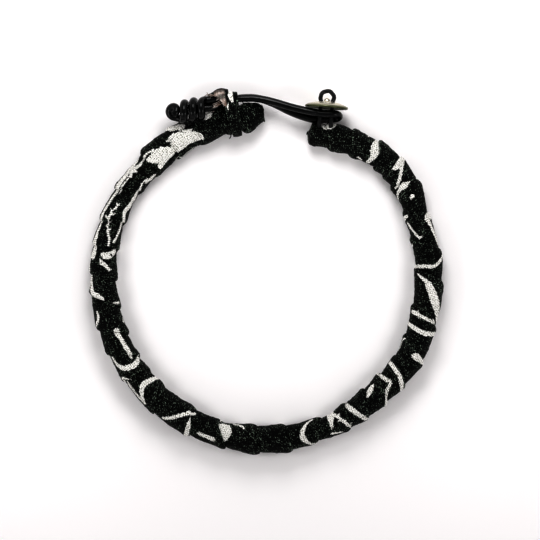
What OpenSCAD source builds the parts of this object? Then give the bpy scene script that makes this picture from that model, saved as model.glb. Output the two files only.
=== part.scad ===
// A bracelet of printed cotton wound round a cord core, lying flat on its side face.
// It closes with a doubled leather cord that loops under a two-hole metal button.
// The ring's centre is at the origin, the clasp is towards +Y and the surface that it lies on is z = 0.

/* [Wound tube] */
// Faces round the wound tube
tube_sides = 18; // [12:2:24]
// Height of the step where one turn of the strip lies on the turn before it
lap_step = 0.5; // [0.2:0.05:0.6]
// How far the soft underside is pressed flat
rest_flat = 0.14; // [0.05:0.01:0.25]

/* [Leather cord] */
// Diameter of the round leather cord
leather_d = 1.5; // [1.2:0.05:1.5]
// Faces round the leather cord
leather_sides = 8; // [6:1:12]

/* [Button] */
// Diameter of the button's disc
button_d = 8.6; // [7.5:0.1:8.7]
// Thickness of the disc at its rim
button_rim = 0.5; // [0.3:0.05:0.8]
// Height of the disc's dome over its flat underside
button_dome = 1.4; // [1:0.05:1.5]
// Distance between the two holes
hole_gap = 2.3; // [2.2:0.05:2.4]
// Diameter of each hole
hole_d = 1.1; // [1:0.05:1.1]
// Diameter of the waxed cord
waxed_d = 0.88; // [0.7:0.02:0.9]

/* [End wrap] */
// Thickness of the folded strip that straps the leather down
band_thick = 0.45; // [0.3:0.05:0.5]
// Width of that strip along the tube
band_width = 2.5; // [1.5:0.1:2.6]

/* [Hidden] */
fine = 48;
cloth_black = [0.05, 0.06, 0.05];
leather_black = [0.1, 0.1, 0.11];
waxed_black = [0.07, 0.07, 0.07];
metal_grey = [0.78, 0.78, 0.74];

// Sections of the wound tube, clockwise from the clasp's side, one row for each.
// Columns: angle, distance of the tube's middle from the ring's centre, half width, half height, lift.
SECTIONS = [
    [17.2, 28.95, 0.55, 0.50, 1.6], [18.2, 29.00, 1.85, 1.75, 0.45], [20.7, 29.25, 2.35, 2.25, 0.05],
    [24.5, 29.75, 2.36, 2.30, 0], [28.5, 30.40, 2.70, 2.50, 0], [36, 31.35, 2.50, 2.50, 0],
    [45, 32.55, 2.60, 2.60, 0], [58, 32.95, 2.60, 2.60, 0], [70, 32.25, 2.35, 2.45, 0],
    [80, 32.45, 2.55, 2.55, 0], [95, 32.70, 2.70, 2.60, 0], [110, 33.05, 2.70, 2.65, 0],
    [122, 33.40, 2.70, 2.65, 0], [135, 33.00, 2.60, 2.60, 0], [147, 33.05, 2.50, 2.55, 0],
    [156, 33.30, 2.20, 2.40, 0], [164, 33.15, 2.25, 2.40, 0], [174, 33.35, 2.70, 2.65, 0],
    [188, 33.35, 2.65, 2.60, 0], [196, 33.45, 2.45, 2.50, 0], [210, 33.20, 2.75, 2.65, 0],
    [222, 32.95, 2.75, 2.65, 0], [235, 32.75, 2.60, 2.60, 0], [250, 32.45, 2.65, 2.60, 0],
    [262, 32.30, 2.65, 2.60, 0], [272, 32.20, 2.55, 2.55, 0], [284, 32.10, 2.45, 2.50, 0],
    [300, 31.85, 2.35, 2.45, 0], [310, 31.40, 2.55, 2.50, 0], [318, 31.45, 3.00, 2.55, 0],
    [329, 31.30, 2.90, 2.50, 0], [337, 30.50, 2.35, 2.40, 0.3], [344, 30.75, 2.30, 2.40, 0.75],
    [350, 30.95, 2.55, 2.45, 0.95], [353, 30.92, 2.68, 2.48, 1], [355.2, 31.25, 2.38, 2.40, 1],
    [358.9, 31.75, 1.90, 1.90, 1.2], [359.6, 31.85, 1.45, 1.45, 1.4]
];

// Edges of the strip's turns. Each lies on the turn before it and crosses the tube's upper side.
// Columns: angle where it leaves the inner side, angle where it reaches the outer side.
LAPS = [
    [17.6, 17.7], [26, 24], [35, 33], [46, 42], [51, 50], [56, 59], [67.5, 70], [76.5, 83],
    [88, 94], [102.6, 108.5], [114, 120], [123, 129], [132, 137], [140, 145], [148.5, 152], [160, 163],
    [173, 171.5], [184, 182], [197, 193], [208, 205], [223, 218], [230, 232], [236.5, 242],
    [246, 251], [256.4, 263], [267, 270], [278.6, 279.5], [289, 288], [303, 299], [312, 314],
    [323, 325], [335, 334], [345, 343], [352, 353], [359.2, 359.3]
];

// Profile of one turn across the strip.
// Columns: place between its own edge and the next, height in laps.
LAP_PROFILE = [[0, 0.42], [0.1, 0.6], [0.55, 0.05], [1, -0.42]];

// Middle line between the leather cord's two legs, from the knot to the button's neck.
// Columns: x, y, z, half distance between the legs, tilt of the pair from side by side.
LEG_ROWS = [
    [-12.8, 33.22, 5.60, 0.80, 0], [-11.2, 33.30, 5.50, 0.80, 8], [-9.4, 33.75, 5.15, 0.83, 30],
    [-7.8, 34.08, 4.70, 0.83, 62], [-6.2, 34.35, 4.30, 0.80, 88], [-4.4, 34.55, 4.00, 0.80, 96],
    [-2.4, 34.58, 3.90, 0.80, 96], [-0.4, 34.26, 3.90, 0.80, 92], [2.0, 33.52, 4.00, 0.80, 80],
    [5.0, 32.33, 4.15, 0.82, 60], [7.2, 31.62, 4.25, 0.95, 53], [9.2, 31.12, 4.30, 1.22, 58],
    [11.2, 30.92, 4.36, 1.50, 70], [13.2, 30.90, 4.38, 1.52, 72]
];

// The knot: the outer leg winds round the inner one, from the knot's right end to its left.
// Columns: angle round the knot's axis, distance along it, radius level with the surface, radius upwards.
KNOT_ROWS = [
    [4, -1.3, 1.46, 1.0], [20, -0.85, 1.52, 1.3], [42, -0.5, 1.60, 1.52], [66, -0.28, 1.64, 1.62],
    [92, -0.15, 1.66, 1.66], [180, 0.2, 1.66, 1.66], [360, 1.02, 1.66, 1.66], [540, 1.95, 1.64, 1.66],
    [720, 2.85, 1.60, 1.64], [900, 3.72, 1.50, 1.55]
];
// Where the cord leaves the winding and closes the knot's left end: a ring, with the cord's end laid over it.
// Columns: distance along the knot's axis, offset level with the surface, offset upwards.
TUCK_ROWS = [
    [3.96, -1.42, -0.45], [4.50, -1.08, -0.70], [5.10, -0.80, -0.78], [5.74, -0.50, -0.76],
    [6.14, 0.04, -0.68], [6.14, 0.72, -0.50], [5.70, 1.24, -0.18], [5.14, 1.34, 0.22], [4.74, 1.04, 0.66],
    [4.72, 0.46, 0.96], [5.06, -0.02, 1.04], [5.56, -0.22, 0.94]
];
// Degrees from one point of the winding to the next
knot_step = 38;
// The inner leg inside the knot. Columns: distance along the knot's axis, offset across it.
CORE_ROWS = [[1, 0], [1.8, 0], [2.55, 0]];
knot_start = [-12.8, 32.42, 5.6];
knot_axis = [-0.982, -0.19, 0];
bight_steps = 6;

// The button stands on its rim, with its domed face away from the wrist
button_centre = [12.2, 32.5, 4.4];
button_turn = -4.6;
boss_r = 0.6;
boss_top = 2.05;
arch_r = 1.33;
arch_height = 2.1;
arch_steps = 10;
// The waxed cord's two ends under the button. Columns: distance below it, drop towards the surface.
NECK_ROWS = [[1.2, 0], [2.3, 0.02], [2.8, 0.04], [3.15, 0.1]];

// The strip that straps the leather down
band_angle = 348.6;
band_clear = 0.2;
band_edge = 0.12;
band_samples = 30;
// Columns: place across the strip in half widths, whether the strip has its full thickness there
BAND_PROFILE = [[-1, 0], [-0.35, 1], [0.35, 1], [1, 0]];
mm_per_degree = 0.54;

// The strip's open mouth round the leather, from the strap to its frayed rim.
// Columns: x, radius inside, angle of its edge over the leather, angle of its edge under the leather.
MOUTH_ROWS = [
    [-7.0, 1.68, 150, -90], [-7.9, 2.05, 128, -94], [-8.8, 2.35, 84, -102], [-9.8, 2.2, 44, -118],
    [-10.9, 1.72, 26, -160]
];
mouth_samples = 12;
mouth_thick = 0.35;
fray = 0.35;

// Values read from a table of rows, blended smoothly between them
function row_before(a, rows, i = 0) =
    (i >= len(rows) - 2 || a < rows[i + 1][0]) ? i : row_before(a, rows, i + 1);
function smooth_blend(t, p0, p1, p2, p3) =
    0.5 * (2 * p1 + (p2 - p0) * t + (2 * p0 - 5 * p1 + 4 * p2 - p3) * t * t
        + (3 * p1 - p0 - 3 * p2 + p3) * t * t * t);
function read_row(a, rows, c) =
    let (i = row_before(a, rows), last = len(rows) - 1)
    let (t = (a - rows[i][0]) / (rows[i + 1][0] - rows[i][0]))
    smooth_blend(max(0, min(1, t)), rows[max(i - 1, 0)][c], rows[i][c], rows[i + 1][c],
        rows[min(i + 2, last)][c]);

function unit(v) = v / norm(v);
function mid_line(a) = let (r = read_row(a, SECTIONS, 1)) [r * sin(a), r * cos(a), 0];
function along(a) = unit(mid_line(a + 0.4) - mid_line(a - 0.4));
function outward(a) = let (d = along(a)) [-d[1], d[0], 0];
function mid_height(a) = read_row(a, SECTIONS, 3) + read_row(a, SECTIONS, 4) - rest_flat;

// A point of the tube: side 0 is towards the wrist, 90 is up and 180 is outward
function tube_point(a, side, lift) =
    let (w = read_row(a, SECTIONS, 2) + lift, h = read_row(a, SECTIONS, 3) + lift)
    mid_line(a) - outward(a) * w * cos(side) + [0, 0, mid_height(a) + h * sin(side)];

// Angle of the strip's edge after a number of half turns: even ones are inner, odd ones are outer
function lap_mark(half) = LAPS[floor(half / 2)][half % 2];
function lap_edge(step) =
    let (halves = 2 * step / tube_sides, i = floor(halves), last = 2 * len(LAPS) - 1)
    let (a = lap_mark(min(i, last)), b = lap_mark(min(i + 1, last)))
    a + (b - a) * (halves - i);

// Closed skin of rings that are joined in order, each ring with the same number of points
function ring_faces(rings, n) = [
    for (i = [0 : rings - 2], k = [0 : n - 1])
        [(i + 1) * n + k, (i + 1) * n + (k + 1) % n, i * n + (k + 1) % n, i * n + k]
];

// Each four-sided face as two triangles, because its corners needn't lie in one plane
function halves(quads) = [for (q = quads) each [[q[0], q[1], q[2]], [q[0], q[2], q[3]]]];

// A round cord along a route, its rings turned as little as the bends allow
function route_dir(route, i) =
    unit(route[min(i + 1, len(route) - 1)] - route[max(i - 1, 0)]);
function carry(v, d) = unit(v - d * (v * d));
module round_cord(route, d, sides, first_side) {
    dirs = [for (i = [0 : len(route) - 1]) route_dir(route, i)];
    across = [for (i = 0, v = carry(first_side, dirs[0]); i < len(route);
        i = i + 1, v = carry(v, dirs[min(i, len(route) - 1)])) v];
    points = [for (i = [0 : len(route) - 1], k = [0 : sides - 1])
        let (t = 360 * k / sides)
        route[i] + (across[i] * cos(t) + cross(dirs[i], across[i]) * sin(t)) * d / 2];
    caps = [[for (k = [0 : sides - 1]) k],
        [for (k = [sides - 1 : -1 : 0]) (len(route) - 1) * sides + k]];
    polyhedron(points, concat(halves(ring_faces(len(route), sides)), caps), convexity = 10);
}

// The pair of leather legs: its middle, its direction seen from above and the offset to either leg
function pair_mid(i) = [LEG_ROWS[i][0], LEG_ROWS[i][1], LEG_ROWS[i][2]];
function pair_dir(i) =
    let (v = pair_mid(min(i + 1, len(LEG_ROWS) - 1)) - pair_mid(max(i - 1, 0)))
    unit([v[0], v[1], 0]);
function pair_offset(i) =
    let (d = pair_dir(i), t = LEG_ROWS[i][4])
    LEG_ROWS[i][3] * [-d[1] * cos(t), d[0] * cos(t), sin(t)];
function knot_point(s, level, up) =
    knot_start + knot_axis * s + [knot_axis[1], -knot_axis[0], 0] * level + [0, 0, up];
// Angles of the winding's points: close where it begins, then even
function knot_angles() =
    let (last = KNOT_ROWS[len(KNOT_ROWS) - 1][0])
    concat([for (i = [0 : 3]) KNOT_ROWS[i][0]], [for (a = [KNOT_ROWS[4][0] : knot_step : last]) a]);
function leather_route() =
    let (last = len(LEG_ROWS) - 1)
    let (eye = pair_mid(last), o = pair_offset(last), d = pair_dir(last) * norm(o))
    concat(
        [for (i = [len(CORE_ROWS) - 1 : -1 : 0]) knot_point(CORE_ROWS[i][0], CORE_ROWS[i][1], 0)],
        [for (i = [0 : last]) pair_mid(i) - pair_offset(i)],
        [for (i = [1 : bight_steps - 1]) let (t = 180 - 180 * i / bight_steps)
            eye + o * cos(t) + d * sin(t)],
        [for (i = [last : -1 : 1]) pair_mid(i) + pair_offset(i)],
        [for (k = knot_angles()) knot_point(read_row(k, KNOT_ROWS, 1),
            read_row(k, KNOT_ROWS, 2) * cos(k), read_row(k, KNOT_ROWS, 3) * sin(k))],
        [for (row = TUCK_ROWS) knot_point(row[0], row[1], row[2])]
    );

// The waxed cord, in the button's own directions: across it and away from its underside
function waxed_route() =
    let (x = hole_gap / 2, dip = acos(x / arch_r), n = len(NECK_ROWS))
    concat(
        [for (i = [n - 1 : -1 : 0]) [-x, -NECK_ROWS[i][0], -NECK_ROWS[i][1]]],
        [[-x, 0, 0], [-x, button_dome / 2, 0]],
        [for (i = [0 : arch_steps]) let (t = 180 + dip - (180 + 2 * dip) * i / arch_steps)
            [arch_r * cos(t), arch_height + arch_r * sin(t), 0]],
        [[x, button_dome / 2, 0], [x, 0, 0]],
        [for (i = [0 : n - 1]) [x, -NECK_ROWS[i][0], -NECK_ROWS[i][1]]]
    );

// Outline round several circles pulled tight like a strap, at one direction seen from its middle
function reach(c, t) = c[0] * cos(t) + c[1] * sin(t) + c[2];
function farthest(circles, t, i = 0) =
    i == len(circles) - 1 ? i
    : let (j = farthest(circles, t, i + 1)) reach(circles[i], t) >= reach(circles[j], t) ? i : j;
function strap_point(circles, t, extra) =
    let (c = circles[farthest(circles, t)], r = c[2] + extra)
    [c[0] + r * cos(t), c[1] + r * sin(t)];

// All that lies under the surface that the bracelet rests on
module below_surface() {
    translate([-60, -60, -5])
        cube([120, 120, 5]);
}

module cloth_wrap() {
    n = tube_sides;
    c = len(LAP_PROFILE);
    steps = (len(LAPS) - 1) * n;
    points = [
        for (s = [0 : steps - 1], p = LAP_PROFILE)
            let (a = lap_edge(s), b = lap_edge(s + n), f = a + (b - a) * p[0])
            tube_point(f, 360 * (s % n) / n, p[1] * lap_step)
    ];
    start_at = len(points);
    ends = [tube_point(LAPS[0][0], 0, -read_row(LAPS[0][0], SECTIONS, 2)),
        tube_point(LAPS[len(LAPS) - 1][1], 0, -read_row(LAPS[len(LAPS) - 1][1], SECTIONS, 2))];
    across = [
        for (s = [0 : steps - 2], k = [0 : c - 2])
            [(s + 1) * c + k, (s + 1) * c + k + 1, s * c + k + 1, s * c + k]
    ];
    risers = [
        for (s = [0 : steps - n - 2])
            [(s + 1) * c + c - 1, (s + n + 1) * c, (s + n) * c, s * c + c - 1]
    ];
    first_rim = concat([for (s = [0 : n]) s * c], [for (k = [c - 1 : -1 : 1]) k]);
    last_rim = concat([for (s = [steps - n - 1 : steps - 1]) s * c + c - 1],
        [for (k = [c - 2 : -1 : 0]) (steps - 1) * c + k]);
    first_cap = [for (k = [0 : len(first_rim) - 1])
        [first_rim[(k + 1) % len(first_rim)], first_rim[k], start_at]];
    last_cap = [for (k = [0 : len(last_rim) - 1])
        [last_rim[k], last_rim[(k + 1) % len(last_rim)], start_at + 1]];
    color(cloth_black)
        difference() {
            polyhedron(
                concat(points, ends),
                concat(halves(across), halves(risers), first_cap, last_cap),
                convexity = 10);
            below_surface();
        }
}

// The strap's circles at one place along the tube: the tube itself and the two leather legs beside it
function strap_circles(a) =
    let (m = mid_line(a) + [0, 0, mid_height(a)], n = outward(a), x = (m + n * 4)[0])
    let (p = [x, read_row(x, LEG_ROWS, 1), read_row(x, LEG_ROWS, 2)] - m, t = read_row(x, LEG_ROWS, 4))
    let (o = read_row(x, LEG_ROWS, 3), leg_r = leather_d / 2 + band_clear)
    [
        [0, 0, read_row(a, SECTIONS, 2) + LAP_PROFILE[1][1] * lap_step + band_clear],
        [p * n + o * cos(t), p[2] + o * sin(t), leg_r],
        [p * n - o * cos(t), p[2] - o * sin(t), leg_r]
    ];
function strap_place(a, q) = mid_line(a) + outward(a) * q[0] + [0, 0, max(0, mid_height(a) + q[1])];
function strap_ring(place, extra) =
    let (a = band_angle + place * band_width / 2 / mm_per_degree, circles = strap_circles(a))
    [for (k = [0 : band_samples - 1])
        strap_place(a, strap_point(circles, 360 * k / band_samples, extra))];

module strap_band() {
    n = band_samples;
    rows = len(BAND_PROFILE);
    outer = [for (p = BAND_PROFILE) each strap_ring(p[0], max(p[1] * band_thick, band_edge))];
    bore = [for (i = [rows - 1 : -1 : 0]) each strap_ring(BAND_PROFILE[i][0], 0)];
    faces = [for (i = [0 : 2 * rows - 1], k = [0 : n - 1])
        let (j = (i + 1) % (2 * rows))
        [i * n + k, j * n + k, j * n + (k + 1) % n, i * n + (k + 1) % n]];
    polyhedron(concat(outer, bore), halves(faces), convexity = 10);
}

// The frayed mouth: a trough under the leather legs that opens away from the strap
function leg_place(x) = [x, read_row(x, LEG_ROWS, 1), read_row(x, LEG_ROWS, 2)];
function mouth_point(i, k, extra) =
    let (row = MOUTH_ROWS[i], x = row[0] + (i == len(MOUTH_ROWS) - 1 ? fray * (k % 2) : 0))
    let (d = leg_place(x + 0.2) - leg_place(x - 0.2), n = unit([-d[1], d[0], 0]))
    let (t = row[2] + (row[3] - row[2]) * k / (mouth_samples - 1))
    leg_place(x) + (n * cos(t) + [0, 0, sin(t)]) * (row[1] + extra);
module strap_mouth() {
    m = mouth_samples;
    rows = len(MOUTH_ROWS);
    points = [for (i = [0 : rows - 1]) each concat(
        [for (k = [0 : m - 1]) mouth_point(i, k, 0)],
        [for (k = [m - 1 : -1 : 0]) mouth_point(i, k, mouth_thick)])];
    n = 2 * m;
    last = (rows - 1) * n;
    caps = [for (k = [0 : m - 2]) each [
        [n - 1 - k, n - 2 - k, k + 1, k],
        [last + n - 2 - k, last + n - 1 - k, last + k, last + k + 1]]];
    faces = [for (f = ring_faces(rows, n)) [f[3], f[2], f[1], f[0]]];
    polyhedron(points, halves(concat(faces, caps)), convexity = 10);
}

module end_wrap() {
    color(cloth_black)
        union() {
            strap_band();
            strap_mouth();
        }
}

module leather_cord() {
    color(leather_black)
        round_cord(leather_route(), leather_d, leather_sides, [0, 0, 1]);
}

// Things that stand on the button's underside, with their own z axis out of its domed face
module on_button() {
    translate(button_centre)
        rotate([0, 0, button_turn])
            rotate([-90, 0, 0])
                children();
}

module button() {
    rise = button_dome - button_rim;
    dome_r = (button_d * button_d / 4 + rise * rise) / (2 * rise);
    color(metal_grey)
        on_button()
            difference() {
                union() {
                    rotate_extrude($fn = fine)
                        intersection() {
                            square([button_d / 2, button_dome]);
                            translate([0, button_dome - dome_r])
                                circle(r = dome_r, $fn = 4 * fine);
                        }
                    cylinder(h = boss_top - boss_r, r = boss_r, $fn = fine);
                    translate([0, 0, boss_top - boss_r])
                        sphere(r = boss_r, $fn = fine);
                }
                for (side = [-1, 1])
                    translate([side * hole_gap / 2, 0, -1])
                        cylinder(h = button_dome + 2, d = hole_d, $fn = fine);
            }
}

module button_cord() {
    color(waxed_black)
        translate(button_centre)
            rotate([0, 0, button_turn])
                round_cord(waxed_route(), waxed_d, leather_sides, [0, 0, 1]);
}

cloth_wrap();
end_wrap();
leather_cord();
button();
button_cord();
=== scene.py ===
"""A bracelet of printed cotton strip wound round a cord core, with a leather loop and a metal button.

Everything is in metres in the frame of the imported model. The ring lies flat, +Z is up and the clasp is at +Y.
Sizes in the pieces' sections are millimetres, and the meshes turn them to metres as they are made. The lamps
and the camera are placed in metres.
"""

import math

import bpy
import numpy as np
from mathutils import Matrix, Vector


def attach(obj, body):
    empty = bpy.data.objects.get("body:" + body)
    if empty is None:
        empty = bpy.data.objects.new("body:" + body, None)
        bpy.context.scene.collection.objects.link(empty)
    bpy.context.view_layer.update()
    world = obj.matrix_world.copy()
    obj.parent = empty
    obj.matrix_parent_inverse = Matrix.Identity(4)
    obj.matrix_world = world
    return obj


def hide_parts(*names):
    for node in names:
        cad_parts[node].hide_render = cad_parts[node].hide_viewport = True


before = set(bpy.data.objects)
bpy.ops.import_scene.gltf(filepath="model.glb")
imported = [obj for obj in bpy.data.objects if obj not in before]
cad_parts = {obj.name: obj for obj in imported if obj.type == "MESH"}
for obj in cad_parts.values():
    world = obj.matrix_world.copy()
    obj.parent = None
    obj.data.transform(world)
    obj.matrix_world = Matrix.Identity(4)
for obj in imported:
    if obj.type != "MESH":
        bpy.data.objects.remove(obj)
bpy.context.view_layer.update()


# The wound strip: one long strip of black plain-woven cotton with a white brush print, folded under
# along its edges and wound clockwise over a cord core that it hides. Each turn lies on the one before,
# pulled tight enough to show puckers, and soft enough to be flat where it rests.
MM = 0.001
FLOOR_CLEAR = 0.02
REST_FLAT = 0.14
STEPS_PER_TURN = 80
TOP_COLUMNS = 24
LEAST_WIDTH = 0.6
LAP_STEP = 0.5
LAP_SEED = 7
LIP_RADIUS = 0.22
# Angles round a folded edge, from under it to over it
ROUND_LIP = np.radians(np.arange(270, 89, -30))
# Columns: distance from a turn's edge, height, from the end of its folded-under part to the fold
FOLDED_UNDER = [(0.9, -0.27), (0.4, -0.23)]
# How far the cloth runs on under the next turn, and its height there
UNDER_NEXT = (0.5, -0.36)
# Heights of the sharp puckers, the soft ones, the fine ones, and the waver along the folded edge
CREASE = 0.075
SOFT_PUCKER = 0.09
FINE_PUCKER = 0.035
LIP_WAVER = 0.06
FIRST_ANGLE = 17.62
LAST_ANGLE = 359.35

# Columns: angle clockwise from the clasp, distance of the tube's middle, half width, half height, lift
SECTIONS = np.array([
    [17.2, 28.95, 0.55, 0.50, 1.6], [18.2, 29.00, 1.85, 1.75, 0.45], [20.7, 29.25, 2.35, 2.25, 0.05],
    [24.5, 29.75, 2.36, 2.30, 0], [28.5, 30.40, 2.70, 2.50, 0], [36, 31.35, 2.50, 2.50, 0],
    [45, 32.55, 2.60, 2.60, 0], [58, 32.95, 2.60, 2.60, 0], [70, 32.25, 2.35, 2.45, 0],
    [80, 32.45, 2.55, 2.55, 0], [95, 32.70, 2.70, 2.60, 0], [110, 33.05, 2.70, 2.65, 0],
    [122, 33.40, 2.70, 2.65, 0], [135, 33.00, 2.60, 2.60, 0], [147, 33.05, 2.50, 2.55, 0],
    [156, 33.30, 2.20, 2.40, 0], [164, 33.15, 2.25, 2.40, 0], [174, 33.35, 2.70, 2.65, 0],
    [188, 33.35, 2.65, 2.60, 0], [196, 33.45, 2.45, 2.50, 0], [210, 33.20, 2.75, 2.65, 0],
    [222, 32.95, 2.75, 2.65, 0], [235, 32.75, 2.60, 2.60, 0], [250, 32.45, 2.65, 2.60, 0],
    [262, 32.30, 2.65, 2.60, 0], [272, 32.20, 2.55, 2.55, 0], [284, 32.10, 2.45, 2.50, 0],
    [300, 31.85, 2.35, 2.45, 0], [310, 31.40, 2.55, 2.50, 0], [318, 31.45, 3.00, 2.55, 0],
    [329, 31.30, 2.90, 2.50, 0], [337, 30.50, 2.35, 2.40, 0.3], [344, 30.75, 2.30, 2.40, 0.75],
    [350, 30.95, 2.55, 2.45, 0.95], [353, 30.92, 2.68, 2.48, 1], [355.2, 31.25, 2.38, 2.40, 1],
    [358.9, 31.75, 1.90, 1.90, 1.2], [359.6, 31.85, 1.45, 1.45, 1.4],
])
# Columns: angle where a turn's edge leaves the inner side, angle where it reaches the outer side
LAPS = np.array([
    [17.6, 17.7], [26, 24], [35, 33], [46, 42], [51, 50], [56, 59], [67.5, 70], [76.5, 83],
    [88, 94], [102.6, 108.5], [114, 120], [123, 129], [132, 137], [140, 145], [148.5, 152], [160, 163],
    [173, 171.5], [184, 182], [197, 193], [208, 205], [223, 218], [230, 232], [236.5, 242],
    [246, 251], [256.4, 263], [267, 270], [278.6, 279.5], [289, 288], [303, 299], [312, 314],
    [323, 325], [335, 334], [345, 343], [352, 353], [359.2, 359.3],
])
# Loose folds. Columns: angles where one begins and ends, side where it is highest, how far it
# reaches to either side, height
SLACK_ROWS = [(350.3, 359, 155, 45, 0.33), (328.8, 338.6, 192, 38, 0.5)]
# Columns: place across a turn from its own edge to the next, height in laps
LAP_PROFILE = np.array([[0, 0.44], [0.1, 0.6], [0.35, 0.3], [0.6, 0.02], [0.85, -0.22], [1, -0.42]])


def read_table(table, key, column):
    """Values of a column at the keys, blended smoothly between the table's rows."""
    rows = table[:, 0]
    i = np.clip(np.searchsorted(rows, key, side="right") - 1, 0, len(rows) - 2)
    t = np.clip((key - rows[i]) / (rows[i + 1] - rows[i]), 0, 1)
    v = table[:, column]
    p0, p1, p2, p3 = v[np.maximum(i - 1, 0)], v[i], v[i + 1], v[np.minimum(i + 2, len(rows) - 1)]
    return 0.5 * (2 * p1 + (p2 - p0) * t + (2 * p0 - 5 * p1 + 4 * p2 - p3) * t * t
                  + (3 * p1 - p0 - 3 * p2 + p3) * t ** 3)


def values_at(table, key, *columns):
    """Values of some columns at one key."""
    return [read_table(table, np.array([key]), column)[0] for column in columns]


def tube_middle(angle):
    """The middle line of the tube seen from above."""
    r, a = read_table(SECTIONS, angle, 1), np.radians(angle)
    return np.stack([r * np.sin(a), r * np.cos(a)], -1)


def tube_outward(angle):
    """The level direction out of the ring."""
    d = tube_middle(angle + 0.4) - tube_middle(angle - 0.4)
    d /= np.linalg.norm(d, axis=-1, keepdims=True)
    return np.stack([-d[..., 1], d[..., 0]], -1)


def tube_places(angle, side, lift):
    """Points of the tube: side 0 is towards the wrist, 90 is up and 180 is outward."""
    s = np.radians(side)
    level = -(read_table(SECTIONS, angle, 2) + lift) * np.cos(s)
    half_height = read_table(SECTIONS, angle, 3)
    height = half_height + read_table(SECTIONS, angle, 4) - REST_FLAT + (half_height + lift) * np.sin(s)
    flat = tube_middle(angle) + tube_outward(angle) * level[..., None]
    return np.concatenate([flat, np.maximum(height, FLOOR_CLEAR)[..., None]], -1)


EDGE_MARKS = np.stack([np.arange(LAPS.size), LAPS.ravel()], -1)


def edge_angle(turns):
    """Angle of the strip's own edge after that many turns from the first."""
    return read_table(EDGE_MARKS, np.minimum(2 * turns, LAPS.size - 1), 1)


def rumple(x, y, seed):
    """Smooth random heights from -1 to 1 that change over about one unit of x and y."""
    grid = np.random.RandomState(seed).uniform(-1, 1, (64, 64))
    i, j = np.floor(x).astype(int), np.floor(y).astype(int)
    u, v = x - i, y - j
    u, v = u * u * (3 - 2 * u), v * v * (3 - 2 * v)
    a, b = grid[i % 64, j % 64], grid[(i + 1) % 64, j % 64]
    c, d = grid[i % 64, (j + 1) % 64], grid[(i + 1) % 64, (j + 1) % 64]
    return (a * (1 - u) + b * u) * (1 - v) + (c * (1 - u) + d * u) * v


def mesh_piece(name, points, faces, material, values=None):
    """A smooth-shaded piece from points in millimetres, with named values at its points."""
    mesh = bpy.data.meshes.new(name)
    faces = faces.tolist() if isinstance(faces, np.ndarray) else faces
    mesh.from_pydata((np.asarray(points) * MM).tolist(), [], faces)
    for label, numbers in (values or {}).items():
        numbers = np.asarray(numbers, np.float32)
        kind, field = ("FLOAT", "value") if numbers.ndim == 1 else ("FLOAT_VECTOR", "vector")
        mesh.attributes.new(label, kind, "POINT").data.foreach_set(field, numbers.ravel())
    mesh.polygons.foreach_set("use_smooth", [True] * len(mesh.polygons))
    mesh.materials.append(material)
    mesh.validate()
    piece = bpy.data.objects.new(name, mesh)
    bpy.context.scene.collection.objects.link(piece)
    return piece


def sheet_faces(rows, columns, closed=False):
    """Four-sided faces of a sheet of points, row by row. A closed one joins its last column to its first."""
    r, c = np.meshgrid(np.arange(rows - 1), np.arange(columns if closed else columns - 1), indexing="ij")
    n = (c + 1) % columns
    corners = [r * columns + c, r * columns + n, (r + 1) * columns + n, (r + 1) * columns + c]
    return np.stack(corners, -1).reshape(-1, 4)


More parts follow.
